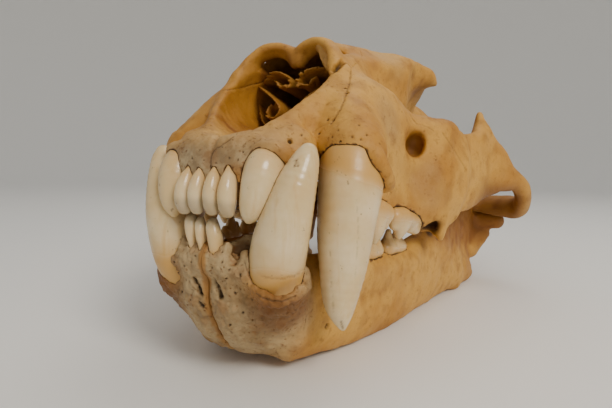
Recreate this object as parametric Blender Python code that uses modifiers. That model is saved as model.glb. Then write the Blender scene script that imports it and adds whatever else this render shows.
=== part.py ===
"""Skull of a big cat with its lower jaw, resting on the lower edges of the jaw.

Each bone and each tooth is one object. Bones and teeth are described by forms: a lump is an
ellipsoid and a strap is an oval section swept along a smooth path. A form either adds to the
piece or hollows it, and a late form adds again after the hollows. The forms are placed in
millimetres in the skull's own frame: x to the animal's left, y from the upper incisors
backwards, z up, with the palate level. The last step tips the skull so that the lower edges of
the jaw lie on the ground.
"""

import math

import bmesh
import bpy
import numpy as np
from mathutils import Euler, Matrix, Vector

# Driving dimensions, in millimetres
SKULL_LENGTH = 262.0  # greatest length of the cranium
DRAWN_LENGTH = 262.0  # the length that the forms below are drawn at
SKULL_MIDDLE_Y = 142.8  # halfway along the skull as it rests
JAW_REST_FRONT = (78.0, 12.1)  # y and z of the lower edge of the jaw under the cheek teeth
JAW_REST_REAR = (180.0, 27.9)  # y and z of its lower edge at the angular process
FLAT_CUT = 0.6  # depth of the flats that the jaw rests on
SOCKET_GAP = 0.35  # between a tooth and its socket
JOINT_GAP = 0.4  # between the jaw and the cranium
SYMPHYSIS_GAP = 0.4  # between the two halves of the lower jaw
BONE_VOXEL = 2.0
JAW_VOXEL = 1.7
TOOTH_VOXEL = 0.75
BEAD_SPACING = 0.7  # of a strap's smaller half size
SETTLE_STEPS = 4

# Faces that each kind of piece is thinned to
CRANIUM_FACES = 2700
DENTARY_FACES = 640
CANINE_FACES = 180
CORNER_INCISOR_FACES = 110
CHEEK_TOOTH_FACES = 110
SMALL_TOOTH_FACES = 50

UNIT = 0.001 * SKULL_LENGTH / DRAWN_LENGTH
UP = (0.0, 0.0, 1.0)
BACK = (0.0, 1.0, 0.0)
FAR = 60.0  # a distance beyond any form's reach

BONE_COLOUR = (0.72, 0.5, 0.26)
JAW_COLOUR = (0.66, 0.47, 0.26)
TOOTH_COLOUR = (0.86, 0.76, 0.56)


def lump(centre, radii, turn=(0, 0, 0), blend=3.0, cut=False, late=False):
    """An ellipsoid; turn is in degrees."""
    rotation = Euler([math.radians(a) for a in turn]).to_matrix()
    return {
        "path": np.array([centre], float),
        "radii": np.array(radii, float),
        "turn": np.array(rotation),
        "blend": blend,
        "cut": cut,
        "late": late,
    }


def smoothed(rows, steps=4):
    """Points on a Catmull-Rom curve through the rows."""
    rows = np.array(rows, float)
    if len(rows) == 2:
        return rows
    ends = np.vstack([2 * rows[0] - rows[1], rows, 2 * rows[-1] - rows[-2]])
    found = []
    for a, b, c, d in zip(ends, ends[1:], ends[2:], ends[3:]):
        for t in np.arange(steps) / steps:
            linear = (c - a) * t
            square = (2 * a - 5 * b + 4 * c - d) * t**2
            cube = (d - 3 * c + 3 * b - a) * t**3
            found.append(0.5 * (2 * b + linear + square + cube))
    found.append(rows[-1])
    return np.array(found)


def strap(path, wide, tall, up=UP, blend=3.0, cut=False, late=False):
    """An oval swept along the path: tall is its half size along up, and wide the one across."""
    count = len(path)
    wide = np.broadcast_to(np.array(wide, float), (count,))
    tall = np.broadcast_to(np.array(tall, float), (count,))
    rows = smoothed(np.column_stack([path, wide, tall]))
    up = np.array(up, float)
    return {
        "path": rows[:, :3],
        "wide": rows[:, 3],
        "tall": rows[:, 4],
        "up": up / np.linalg.norm(up),
        "blend": blend,
        "cut": cut,
        "late": late,
    }


CRANIUM = {
    "braincase": lump((0, 182, 104), (38, 50, 33), blend=6),
    "braincase rear": lump((0, 214, 97), (37, 26, 27), blend=8),
    "waist": strap([(0, 118, 112), (0, 140, 112), (0, 160, 110)], [26, 22, 30], [24, 24, 26], blend=10),
    "sagittal crest": strap(
        [(0, 146, 131), (0, 170, 135), (0, 200, 135), (0, 232, 129), (0, 256, 120)],
        [2.2, 2.0, 2.0, 2.2, 2.6], [6, 8, 11, 14, 9], blend=6),
    "nuchal crest": strap(
        [(0, 256, 121), (14, 251, 120), (29, 240, 110), (41, 226, 96), (47, 214, 84)],
        [2.6, 2.4, 2.3, 2.4, 3], [7, 7, 7, 6, 5], up=(0, 0.8, 0.6), blend=5),
    "occiput": strap([(0, 228, 92), (0, 238, 96)], [32, 24], [24, 20], blend=8),
    "skull base": strap(
        [(0, 110, 84), (0, 165, 80), (0, 205, 77), (0, 236, 76)],
        [10, 12, 17, 16], [5, 6, 6, 5], blend=6),
    "occipital condyle": strap(
        [(7, 242, 71), (15, 246, 79), (16, 243, 88)], [6, 7, 5], [6, 7, 5], up=BACK),
    "bulla": lump((28, 203, 75), (12, 18, 12), turn=(0, 0, 12)),
    "mastoid": lump((45, 214, 80), (6, 8, 10), blend=6),
    "paroccipital": lump((36, 224, 74), (5, 5, 11), turn=(-14, 0, 0), blend=5),
    "forehead": lump((0, 106, 116), (33, 40, 20), blend=8),
    "frontal plate": strap(
        [(14, 72, 118), (19, 92, 124), (22, 112, 127), (16, 132, 128), (6, 150, 130)],
        [14, 14, 15, 12, 6], [7, 8, 8, 7, 6], blend=10),
    "brow": strap([(24, 92, 126), (30, 104, 128.5), (34, 114, 129)], [6, 6, 5.5], [5, 5, 4.5], blend=8),
    "temporal ridge": strap(
        [(36, 118, 128), (27, 130, 132), (14, 142, 136), (3, 154, 137)],
        [3.5, 3.5, 3.5, 3], [4, 5, 5, 5], blend=8),
    "sphenoid": strap([(0, 85, 100), (0, 130, 100)], [17, 17], [24, 22], blend=8),
    "muzzle": strap(
        [(0, 14.5, 76), (0, 24, 82), (0, 36, 88.5), (0, 60, 95), (0, 90, 103)],
        [15.5, 19.5, 24.5, 30, 32], [7, 11.5, 17, 25, 28], blend=6),
    "nasal roof": strap(
        [(8, 45.5, 118), (8.2, 56, 121.5), (8, 78, 127.5), (7, 98, 131)],
        [8.4, 9.3, 10, 11], [4, 4.2, 4.6, 5], blend=6),
    "nasal wall": strap(
        [(21.5, 42, 105), (21, 52, 110.5), (18, 72, 118)], [3, 4, 5], [4.5, 6.5, 6], blend=6),
    "canine bulge": strap(
        [(32, 31, 77), (30, 34.5, 83), (26.8, 38.5, 89), (22.8, 44, 97), (17.5, 52, 106)],
        [10.8, 9.4, 8.4, 7.2, 6], [11, 10, 9.4, 9, 8], up=BACK, blend=7),
    "cheek": lump((31, 62, 84), (10.5, 34, 23), turn=(0, 0, -8), blend=8),
    "upper tooth row": strap(
        [(30, 44, 69.5), (34, 56, 66), (38.6, 72, 64), (41.4, 84, 62.5), (42.6, 94, 62)],
        [6, 5.2, 5, 5, 5], [9, 8, 8, 8, 8], blend=5),
    "palate": strap([(0, 16, 77), (0, 50, 80), (0, 104, 81)], [16, 30, 22], [3.5, 3.5, 4], blend=5),
    "premaxilla": strap(
        [(0, 8, 70.8), (8, 8.4, 71), (14, 11.5, 72.2), (19, 17, 75.5)],
        [6.4, 6.4, 6, 5.5], [7.8, 7.8, 7.4, 6.6], blend=4),
    "nose rim": strap(
        [(11.5, 17, 80), (17.2, 25, 88.5), (21, 34, 98.5), (21.8, 40, 106)],
        [2.4, 2.4, 2.3, 2.4], [2.6, 2.6, 2.6, 2.8], blend=4),
    "canine lip": strap(
        [(25, 40, 71.5), (33, 43.5, 69), (41, 38.5, 68), (43.4, 31, 69.5), (42, 25, 73.5)],
        [3, 3.2, 2.8, 2.2, 2], [3, 3.2, 3, 2.6, 2.4], blend=5),
    "cheekbone root": strap([(38, 80, 84), (46, 86, 79.6), (54, 98, 78.6)], [8, 8, 6], [18, 21.5, 20.5], blend=8),
    "orbit floor": strap([(36, 74, 93), (42, 80, 94.5), (50, 92, 97.5)], [6, 6, 5], [5, 4.5, 4], blend=6),
    "cheekbone arch": strap(
        [(50, 97, 79.6), (57.5, 110, 82.8), (63, 124, 88), (69, 134, 88), (73.5, 142, 85.5),
         (78, 150, 84.3), (81.5, 157, 81), (82.4, 165, 75.5), (79.5, 174, 72), (68, 181, 72)],
        [6, 4.8, 4.2, 4.2, 4.4, 4.4, 4.6, 4.4, 5, 6.5],
        [18.5, 17.8, 16.2, 13.5, 8.2, 5.4, 5.2, 5.6, 6, 6.5], blend=5),
    "jaw joint root": strap(
        [(32, 180, 88), (46, 182, 78), (58, 184, 71.5), (68, 184, 72), (76, 182, 73)],
        [12, 10, 8.5, 7.5, 6.5], [8, 7, 6, 6, 6], blend=7),
    "postglenoid process": strap(
        [(44, 193, 74), (58, 193, 70), (68, 191, 68)], [3, 3, 2.5], [8, 8, 5], blend=4),
    "pterygoid": strap(
        [(11, 104, 80), (10.5, 124, 76), (11, 142, 70)], [1.9, 1.9, 1.8], [8, 8, 5], blend=3),
    "jaw joint hollow": strap([(42, 184, 65.5), (77, 183, 64)], 6.8, 6.8, blend=2, cut=True),
    "eye socket": lump((50, 106, 121.5), (17.5, 22, 19.5), turn=(0, 0, -22), blend=4, cut=True),
    "eye socket rear": lump((42, 122, 108), (16, 24, 20), turn=(0, 0, -12), blend=6, cut=True),
    "temporal hollow": lump((46, 142, 112), (15, 26, 30), blend=8, cut=True),
    "nasal cavity": strap(
        [(0, 9, 88), (0, 26, 94), (0, 40, 100), (0, 60, 101), (0, 86, 103)],
        [11.5, 16.6, 20, 18, 14], [10.5, 13.5, 16, 17, 16], blend=2.5, cut=True),
    "nasal vault": strap(
        [(9, 34, 114.5), (8.6, 50, 116.5), (8, 68, 119.5)], [8, 7.4, 7], [4.4, 4.6, 5], blend=2, cut=True),
    "infraorbital opening": strap(
        [(44.5, 64, 87), (42.8, 70, 87.6), (41, 76, 88.2)],
        [4.1, 3.9, 3.4], [5.2, 5, 4.2], blend=2, cut=True),
    "foramen magnum": lump((0, 248, 82), (9.5, 14, 8), blend=2, cut=True),
    "throat": strap([(0, 110, 74), (0, 140, 72)], 8, 8, cut=True),
    "palate vault": lump((0, 58, 67), (24, 52, 9), blend=4, cut=True),
    "nasal edge": strap(
        [(1, 47.5, 115.6), (4, 47, 118.4), (8.5, 45.8, 120.2), (14, 44, 118.6), (18.4, 41, 113.8),
         (20.6, 38, 108)],
        [3, 3.4, 4, 4, 3.6, 2.8], [2.4, 2.2, 2.0, 2.2, 2.3, 2.2], up=(0.6, 0, 0.8), blend=3, late=True),
    "nasal middle": strap([(1.2, 47, 116.4), (1.2, 64, 120.5)], [1.8, 1.8], [3.4, 3.4], blend=2, late=True),
    "postorbital process": strap(
        [(30, 110, 130.5), (34.4, 117, 131.4), (37, 120, 130.6), (39, 122, 129.4)],
        [5, 4.2, 3, 1.5], [5.2, 3.7, 2.5, 1.4], blend=4, late=True),
    "cheekbone spike": strap(
        [(61.6, 121, 99), (61.4, 124, 106.5), (60.8, 125, 113)],
        [4.2, 3.5, 2], [7.5, 5.4, 2.6], up=BACK, blend=4, late=True),
}

DENTARY = {
    "body": strap(
        [(15, 30, 25.5), (19, 42, 26.5), (25, 58, 27.5), (31, 80, 29.5), (38, 108, 34.5),
         (44, 132, 40), (49, 150, 44)],
        [8, 8, 8, 8, 7, 5.5, 4.5], [17, 17.5, 17.5, 17, 17, 18, 18], blend=6),
    "chin": strap(
        [(5, 12, 39), (4.5, 15, 30), (3.6, 21.5, 21.5), (2.4, 29, 17)],
        [7, 6.5, 5.6, 4.5], [8, 8, 8, 7.5], up=(0, 1, 0.6), blend=6),
    "canine socket": strap(
        [(17.6, 17, 35), (14.5, 22.5, 27), (11, 31, 21)], [9, 7.4, 6], [10.3, 9, 7.5], up=BACK, blend=5),
    "chin base": strap([(5, 16, 30), (6, 26, 20.5), (8, 40, 16)], [8, 8, 9], [7, 8, 8], blend=6),
    "tooth row": strap(
        [(27.5, 40, 37), (30.5, 57, 38.5), (34.4, 76, 40.5), (37, 90, 41)],
        [4.6, 4.8, 4.8, 4.5], [5.5, 5.8, 5.8, 5.2], blend=6),
    "incisor shelf": strap(
        [(0, 6.5, 41), (7, 7.5, 41), (13, 9.5, 40), (17, 14, 38)],
        [4, 4.2, 4.5, 4], [4.5, 4.5, 4.5, 4], blend=3),
    "angular process": strap(
        [(47, 143, 38), (51, 159, 36), (53.6, 172, 33.6), (54.6, 183, 32.2)],
        [4.5, 4.5, 4.4, 3.6], [10, 9, 6.5, 4], blend=6),
    "ramus": strap(
        [(38, 96, 40), (42, 112, 44), (46.5, 130, 52), (50, 150, 60), (52.2, 166, 58), (54, 180, 52)],
        [4, 3.6, 3.2, 3, 3, 3], [9, 14, 22, 31, 31, 18], blend=6),
    "coronoid process": strap(
        [(52, 150, 82), (53, 163, 98), (53, 174, 108)], [2.6, 2.4, 2], [13, 9, 3], up=(0, 1, -0.4), blend=8),
    "condyle neck": strap([(56, 182, 46), (59, 185, 57)], [4.5, 7.5], [7, 5], up=BACK, blend=6),
    "condyle": strap(
        [(46, 184.5, 66), (58, 184.5, 65), (69, 183.5, 64.5)], [4.8, 5.8, 5], [4.8, 5.8, 5]),
    "masseter hollow": lump((64, 150, 54), (10, 26, 24), turn=(0, 0, -12), blend=6, cut=True),
}


def horn(path, wide, tall):
    """A tapering tooth; wide is across the jaw and tall along it."""
    return {"horn": strap(path, wide, tall, up=BACK, blend=1)}


def cusp(path, wide, tall):
    return strap(path, wide, tall, up=BACK, blend=2)


UPPER_CANINE = horn(
    [(30, 35.5, 84), (32.1, 31, 74), (33.1, 28.6, 65.3), (33.1, 27.2, 53), (33.3, 26.8, 42.3),
     (33.2, 26.8, 32.4), (33.8, 27, 27.6), (34.5, 27.4, 23.8)],
    [7.4, 9.7, 9.7, 8.6, 7.2, 5.2, 3.3, 1.1], [8.4, 11, 10.8, 9.2, 7.6, 5.6, 3.5, 1.2])
LOWER_CANINE = horn(
    [(12.5, 24, 24), (17.2, 16.5, 33), (18.6, 13.2, 38), (19.7, 11.3, 42.3), (20.9, 9.9, 47.5),
     (22.6, 9.1, 54), (24.4, 9.3, 62.3), (26.1, 10.2, 69.4), (26.8, 10.8, 73)],
    [5.5, 6.6, 7.4, 7.8, 7.8, 7.1, 5.8, 4.1, 2.5], [6.5, 7.6, 8.2, 8.3, 8, 7.2, 6, 4.3, 2.8])
LOWER_CANINE_UPRIGHT = horn(
    [(11.5, 24, 24), (15.4, 16.5, 33), (16.6, 13.2, 38), (17.5, 11.3, 42.3), (18.6, 9.9, 47.5),
     (20.6, 9.1, 54), (23, 9.3, 62.3), (25.6, 10.2, 69.4), (26.8, 10.8, 73)],
    [5.5, 6.6, 7.2, 7.4, 7.3, 6.8, 5.6, 4.1, 2.5], [6.5, 7.4, 7.8, 7.9, 7.7, 7, 6, 4.3, 2.8])
UPPER_INCISOR_1 = horn(
    [(2.4, 4.6, 69), (2.5, 2.6, 66), (2.6, 1.6, 63.4), (2.7, 1.1, 60.2), (2.7, 1.4, 57), (2.7, 2, 54.7)],
    [1.2, 0.95, 1.7, 2.2, 2.2, 1.8], [1.8, 1.8, 2.4, 2.8, 2.3, 1.0])
UPPER_INCISOR_2 = horn(
    [(6.8, 5.2, 69.5), (7.1, 3.1, 66.2), (7.5, 2.1, 63.4), (7.7, 1.6, 60.1), (7.8, 1.8, 56.8),
     (7.7, 2.4, 54.5)],
    [1.3, 1.1, 2, 2.55, 2.5, 1.9], [2, 1.9, 2.6, 3.1, 2.5, 1.1])
UPPER_INCISOR_3 = horn(
    [(14.4, 17, 77), (15, 12.6, 73), (15.3, 9.2, 69.5), (15.4, 6.8, 65.5), (15, 5.4, 60.5),
     (14.2, 4.7, 56.2), (13.6, 4.5, 53.6)],
    [3.8, 5, 5.5, 5.4, 4.6, 3.3, 1.6], [4.5, 5.6, 6.4, 6.4, 5.3, 3.8, 1.6])
LOWER_INCISOR_1_LEFT = horn(
    [(2.6, 6.4, 41), (2.4, 5.6, 45), (2.2, 4.9, 47.5), (1.3, 4.7, 50.2), (0.7, 5, 52)],
    [1.6, 1.9, 2.1, 2.1, 1.8], [2.2, 2.4, 2.3, 1.9, 0.9])
LOWER_INCISOR_1_RIGHT = horn(
    [(-2, 6.4, 41), (-2.1, 5.6, 45), (-2.5, 4.9, 47.3), (-3.2, 4.7, 50.2), (-3.7, 5, 52)],
    [1, 1.2, 1.35, 1.55, 1.4], [1.8, 2.1, 2.2, 1.8, 0.9])
LOWER_INCISOR_2_RIGHT = horn(
    [(-5.6, 7, 41), (-6, 6.1, 45), (-6.5, 5.4, 48), (-7.2, 5.1, 51), (-7.7, 5.4, 52.8)],
    [1, 1.3, 1.75, 1.95, 1.7], [1.9, 2.2, 2.4, 2.0, 0.9])
UPPER_PREMOLAR_3 = {
    "base": cusp([(34.6, 44.6, 60), (37.4, 52, 59.5)], [3.2, 3.4], [3.2, 3.4]),
    "main cusp": cusp([(36, 48, 60), (36.2, 47.7, 54), (36, 47.5, 49.3)], [3.8, 3.1, 1.1], [5.2, 4.2, 1.2]),
    "rear cusp": cusp([(37.4, 52.4, 58.5), (37.6, 52.3, 55)], [2.8, 1.5], [2.8, 1.6]),
    "front cusp": cusp([(34.8, 44.4, 58.5), (34.8, 44, 56.4)], [2.2, 1.3], [2.3, 1.3]),
}
UPPER_CARNASSIAL = {
    "base": cusp([(39.2, 59.6, 58.8), (40.8, 69, 58.2), (42, 80.3, 58)], [3.2, 3.6, 3.2], [3.2, 4, 3.3]),
    "main cusp": cusp([(40.2, 65, 58.5), (40.4, 64.4, 55), (40.3, 64, 51.5)], [3.8, 3, 1.2], [5.4, 4, 1.5]),
    "front cusp": cusp([(39.2, 59.8, 58), (39.2, 59.4, 55)], [2.7, 1.4], [2.8, 1.6]),
    "rear blade": cusp([(41.4, 75, 57), (42, 79.6, 55.8)], [2.6, 2.4], [3.4, 3.2]),
    "rear edge": cusp([(41.2, 73.5, 54.8), (42.2, 81, 54.6)], [1.3, 1.3], [1.8, 1.8]),
    "inner cusp": cusp([(35.6, 61.5, 59.5), (35.4, 61.2, 56.8)], [3, 1.8], [3, 1.8]),
}
UPPER_MOLAR = {"bar": cusp([(35.5, 87.4, 59), (40.2, 88, 58)], [2.2, 2.4], [2.2, 2.0])}
LOWER_PREMOLAR_3 = {
    "base": cusp([(27.2, 39, 44), (28.6, 45.6, 44.5)], [2.8, 2.9], [2.8, 2.9]),
    "main cusp": cusp([(27.8, 42.4, 44), (28, 42.2, 50.5)], [2.8, 1.0], [4, 1.2]),
}
LOWER_PREMOLAR_4 = {
    "base": cusp([(30, 51.8, 44.5), (32.2, 61.6, 45.5)], [3, 3.1], [3, 3.1]),
    "main cusp": cusp([(31, 56.8, 45), (31.2, 56.4, 54)], [3.3, 1.0], [4.8, 1.3]),
    "rear cusp": cusp([(32.2, 61.4, 46), (32.3, 61.6, 50.5)], [2.5, 1.4], [2.7, 1.5]),
    "front cusp": cusp([(30, 51.4, 45), (30, 51, 48.5)], [2, 1.2], [2.1, 1.3]),
}
LOWER_CARNASSIAL = {
    "base": cusp([(33.8, 69.8, 46), (35.8, 83.2, 47.2)], [3.1, 3.3], [3.1, 3.3]),
    "front blade": cusp([(34.1, 72, 47), (34.2, 71.4, 53)], [3, 1.0], [4.6, 2.2]),
    "rear blade": cusp([(35.4, 79.8, 47.5), (35.5, 79.2, 54)], [3, 1.0], [4.8, 2.2]),
}


def oval_distance(local, radii):
    """Signed distance, near enough, from the surface of an ellipsoid."""
    scaled = np.linalg.norm(local / radii, axis=1)
    slope = np.linalg.norm(local / radii**2, axis=1)
    return scaled * (scaled - 1) / np.maximum(slope, 1e-6)


def stretch_axes(along, up):
    """Across, upward and along axes of a stretch of a strap."""
    upward = up - (up @ along) * along
    if np.linalg.norm(upward) < 1e-3:
        upward = np.array([1.0, 0, 0]) - along[0] * along
    upward /= np.linalg.norm(upward)
    return np.column_stack([np.cross(along, upward), upward, along])


def stretches(form):
    """Each stretch of a strap: its start, its run, its axes and its half sizes at both ends."""
    for i in range(len(form["path"]) - 1):
        start = form["path"][i]
        run = form["path"][i + 1] - start
        axes = stretch_axes(run / np.linalg.norm(run), form["up"])
        yield start, run, axes, form["wide"][i : i + 2], form["tall"][i : i + 2]


def form_distance(form, points):
    if "radii" in form:
        return oval_distance((points - form["path"][0]) @ form["turn"], form["radii"])
    nearest = np.full(len(points), FAR)
    for start, run, axes, wide, tall in stretches(form):
        share = np.clip((points - start) @ run / (run @ run), 0, 1)
        local = (points - start - share[:, None] * run) @ axes
        across = wide[0] + (wide[1] - wide[0]) * share
        upward = tall[0] + (tall[1] - tall[0]) * share
        radii = np.column_stack([across, upward, np.minimum(across, upward)])
        nearest = np.minimum(nearest, oval_distance(local, radii))
    return nearest


def reach(form):
    """Lowest and highest corners of the box outside which a form changes nothing."""
    margin = form["blend"] + 5
    if "radii" in form:
        half = np.linalg.norm(form["turn"] * form["radii"], axis=1)
        return form["path"][0] - half - margin, form["path"][0] + half + margin
    half = np.maximum(form["wide"], form["tall"])[:, None] + margin
    return (form["path"] - half).min(axis=0), (form["path"] + half).max(axis=0)


def field(forms, points, both_sides):
    """Signed distance from the blended forms, negative inside."""
    depth = np.full(len(points), FAR)
    points = points.copy()
    if both_sides:
        points[:, 0] = np.abs(points[:, 0])
    for form in forms.values():
        low, high = reach(form)
        near = np.flatnonzero(((points > low) & (points < high)).all(axis=1))
        if not len(near):
            continue
        away = form_distance(form, points[near])
        so_far = depth[near]
        blend = form["blend"]
        if form["cut"]:
            away = -away
        meet = np.maximum(blend - np.abs(so_far - away), 0) / blend
        round_off = meet**2 * blend / 4
        if form["cut"]:
            depth[near] = np.maximum(so_far, away) + round_off
        else:
            depth[near] = np.minimum(so_far, away) - round_off
    return depth


def bead_places(form):
    """Matrices that turn a unit ball into the beads which fill a form."""
    if "radii" in form:
        yield form["path"][0], form["turn"] * form["radii"]
        return
    for start, run, axes, wide, tall in stretches(form):
        smallest = min(wide.min(), tall.min())
        count = max(1, math.ceil(np.linalg.norm(run) / (BEAD_SPACING * smallest)))
        for share in np.linspace(0, 1, count + 1):
            across = wide[0] + (wide[1] - wide[0]) * share
            upward = tall[0] + (tall[1] - tall[0]) * share
            radii = np.array([across, upward, min(across, upward)])
            yield start + run * share, axes * radii


def add_bead(beads, centre, shape):
    matrix = Matrix(shape.tolist()).to_4x4()
    matrix.translation = Vector(centre)
    bmesh.ops.create_icosphere(beads, subdivisions=2, radius=1.0, matrix=matrix)


def bead_string(form, both_sides):
    """One mesh of the overlapping beads that fill a form."""
    flip = np.diag([-1.0, 1.0, 1.0])
    beads = bmesh.new()
    for centre, shape in bead_places(form):
        add_bead(beads, centre, shape)
        if both_sides:
            add_bead(beads, flip @ centre, flip @ shape @ flip)
    mesh = bpy.data.meshes.new("beads")
    beads.to_mesh(mesh)
    beads.free()
    return mesh


def gathered(meshes):
    """The meshes side by side in one."""
    together = bmesh.new()
    for mesh in meshes:
        together.from_mesh(mesh)
    whole = bpy.data.meshes.new("gathered")
    together.to_mesh(whole)
    together.free()
    return whole


def beaded(forms, both_sides, cut=False, late=False):
    """The strings of beads of the forms of one kind."""
    chosen = [form for form in forms.values() if form["cut"] == cut and form["late"] == late]
    return [bead_string(form, both_sides) for form in chosen]


def with_modifier(mesh, kind, **settings):
    """The mesh as one modifier leaves it."""
    holder = bpy.data.objects.new("holder", mesh)
    bpy.context.scene.collection.objects.link(holder)
    modifier = holder.modifiers.new(kind, kind)
    for name, value in settings.items():
        setattr(modifier, name, value)
    graph = bpy.context.evaluated_depsgraph_get()
    changed = bpy.data.meshes.new_from_object(holder.evaluated_get(graph))
    bpy.data.objects.remove(holder)
    return changed


def carved(mesh, cutter_mesh):
    """The mesh less a closed cutter, without the crumbs that a cut may leave."""
    cutter = bpy.data.objects.new("cutter", cutter_mesh)
    cutter.hide_render = True
    cutter.display_type = "WIRE"
    cutters.objects.link(cutter)
    rest = with_modifier(mesh, "BOOLEAN", operation="DIFFERENCE", solver="EXACT", object=cutter)
    bpy.data.objects.remove(cutter)
    return largest_piece(rest)


def largest_piece(mesh):
    work = bmesh.new()
    work.from_mesh(mesh)
    unseen = set(work.verts)
    pieces = []
    while unseen:
        piece = [unseen.pop()]
        for vert in piece:
            for edge in vert.link_edges:
                other = edge.other_vert(vert)
                if other in unseen:
                    unseen.remove(other)
                    piece.append(other)
        pieces.append(piece)
    pieces.sort(key=len)
    for piece in pieces[:-1]:
        bmesh.ops.delete(work, geom=piece, context="VERTS")
    work.to_mesh(mesh)
    work.free()
    return mesh


def points_of(mesh):
    flat = np.empty(3 * len(mesh.vertices))
    mesh.vertices.foreach_get("co", flat)
    return flat.reshape(-1, 3)


def normals_of(mesh):
    flat = np.empty(3 * len(mesh.vertices))
    mesh.vertex_normals.foreach_get("vector", flat)
    return flat.reshape(-1, 3)


def move_points(mesh, points):
    mesh.vertices.foreach_set("co", points.ravel())
    mesh.update()


def eased(mesh):
    """The mesh with its points drawn a little towards their neighbours, which evens its faces."""
    work = bmesh.new()
    work.from_mesh(mesh)
    every_way = {"use_axis_x": True, "use_axis_y": True, "use_axis_z": True}
    bmesh.ops.smooth_vert(work, verts=work.verts, factor=0.4, **every_way)
    work.to_mesh(mesh)
    work.free()


def settle(mesh, forms, both_sides, voxel):
    """Moves the points of a rough mesh onto the surface of the blended forms."""
    for step in range(SETTLE_STEPS):
        if step:
            eased(mesh)
        points = points_of(mesh)
        away = np.clip(0.9 * field(forms, points, both_sides), -voxel, voxel)
        move_points(mesh, points - normals_of(mesh) * away[:, None])


def fused(meshes, voxel):
    """One closed skin around the meshes."""
    return with_modifier(gathered(meshes), "REMESH", mode="VOXEL", voxel_size=voxel)


def modelled(forms, both_sides, voxel):
    """A closed mesh of the blended forms."""
    mesh = fused(beaded(forms, both_sides), voxel)
    hollows = beaded(forms, both_sides, cut=True)
    if hollows:
        mesh = carved(mesh, fused(hollows, voxel))
        mesh = largest_piece(fused([mesh] + beaded(forms, both_sides, late=True), voxel))
    settle(mesh, forms, both_sides, voxel)
    return mesh


def thinned(mesh, faces):
    """The mesh with about this many triangles."""
    triangles = sum(len(polygon.vertices) - 2 for polygon in mesh.polygons)
    return with_modifier(mesh, "DECIMATE", ratio=faces / triangles, use_collapse_triangulate=True)


def swollen(mesh, gap):
    bigger = mesh.copy()
    move_points(bigger, points_of(mesh) + normals_of(mesh) * gap)
    return bigger


def mirrored(mesh):
    other = mesh.copy()
    move_points(other, points_of(mesh) * (-1, 1, 1))
    other.flip_normals()
    return other


def trimmed(mesh, point, normal):
    """The part of a mesh on the side that the normal points to, closed with a flat face."""
    work = bmesh.new()
    work.from_mesh(mesh)
    geometry = work.verts[:] + work.edges[:] + work.faces[:]
    bmesh.ops.bisect_plane(work, geom=geometry, dist=1e-5, plane_co=point, plane_no=normal, clear_inner=True)
    bmesh.ops.holes_fill(work, edges=[edge for edge in work.edges if edge.is_boundary])
    bmesh.ops.triangulate(work, faces=work.faces)
    work.to_mesh(mesh)
    work.free()
    return mesh


def tooth_meshes():
    """Every tooth's mesh by its name, drawn on the left and mirrored where both sides have it."""
    pairs = {
        "upper_incisor_1": (UPPER_INCISOR_1, SMALL_TOOTH_FACES),
        "upper_incisor_2": (UPPER_INCISOR_2, SMALL_TOOTH_FACES),
        "upper_incisor_3": (UPPER_INCISOR_3, CORNER_INCISOR_FACES),
        "upper_canine": (UPPER_CANINE, CANINE_FACES),
        "upper_premolar_3": (UPPER_PREMOLAR_3, CHEEK_TOOTH_FACES),
        "upper_carnassial": (UPPER_CARNASSIAL, CHEEK_TOOTH_FACES),
        "upper_molar": (UPPER_MOLAR, SMALL_TOOTH_FACES),
        "lower_premolar_3": (LOWER_PREMOLAR_3, CHEEK_TOOTH_FACES),
        "lower_premolar_4": (LOWER_PREMOLAR_4, CHEEK_TOOTH_FACES),
        "lower_carnassial": (LOWER_CARNASSIAL, CHEEK_TOOTH_FACES),
    }
    teeth = {}
    for name, (forms, faces) in pairs.items():
        teeth[name + "_left"] = thinned(modelled(forms, False, TOOTH_VOXEL), faces)
        teeth[name + "_right"] = mirrored(teeth[name + "_left"])
    singles = {
        "lower_incisor_1_left": (LOWER_INCISOR_1_LEFT, SMALL_TOOTH_FACES),
        "lower_incisor_1_right": (LOWER_INCISOR_1_RIGHT, SMALL_TOOTH_FACES),
        "lower_incisor_2_right": (LOWER_INCISOR_2_RIGHT, SMALL_TOOTH_FACES),
        "lower_canine_left": (LOWER_CANINE, CANINE_FACES),
    }
    for name, (forms, faces) in singles.items():
        teeth[name] = thinned(modelled(forms, False, TOOTH_VOXEL), faces)
    upright = thinned(modelled(LOWER_CANINE_UPRIGHT, False, TOOTH_VOXEL), CANINE_FACES)
    teeth["lower_canine_right"] = mirrored(upright)
    for side in ("_left", "_right"):
        lower = swollen(teeth["lower_canine" + side], SOCKET_GAP)
        teeth["upper_incisor_3" + side] = carved(teeth["upper_incisor_3" + side], lower)
    return teeth


def dentary_meshes():
    """The left and the right half of the lower jaw, a gap apart at the chin."""
    half = modelled(DENTARY, False, JAW_VOXEL)
    half = trimmed(half, (SYMPHYSIS_GAP / 2, 0, 0), (1, 0, 0))
    half = thinned(half, DENTARY_FACES)
    return {"mandible_left": half, "mandible_right": mirrored(half)}


def seated(bone, teeth, gap=SOCKET_GAP):
    """The bone with a socket for each tooth."""
    for tooth in teeth:
        bone = carved(bone, swollen(tooth, gap))
    return bone


def rest_matrix():
    """Takes the skull's own frame, in millimetres, to metres with the jaw on the ground."""
    run = JAW_REST_REAR[0] - JAW_REST_FRONT[0]
    rise = JAW_REST_REAR[1] - JAW_REST_FRONT[1]
    tip = Matrix.Rotation(-math.atan2(rise, run), 4, "X")
    foot = tip @ Vector((0, JAW_REST_FRONT[0], JAW_REST_FRONT[1] + FLAT_CUT))
    middle = Vector((0, SKULL_MIDDLE_Y, foot.z))
    return Matrix.Scale(UNIT, 4) @ Matrix.Translation(-middle) @ tip


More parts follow.
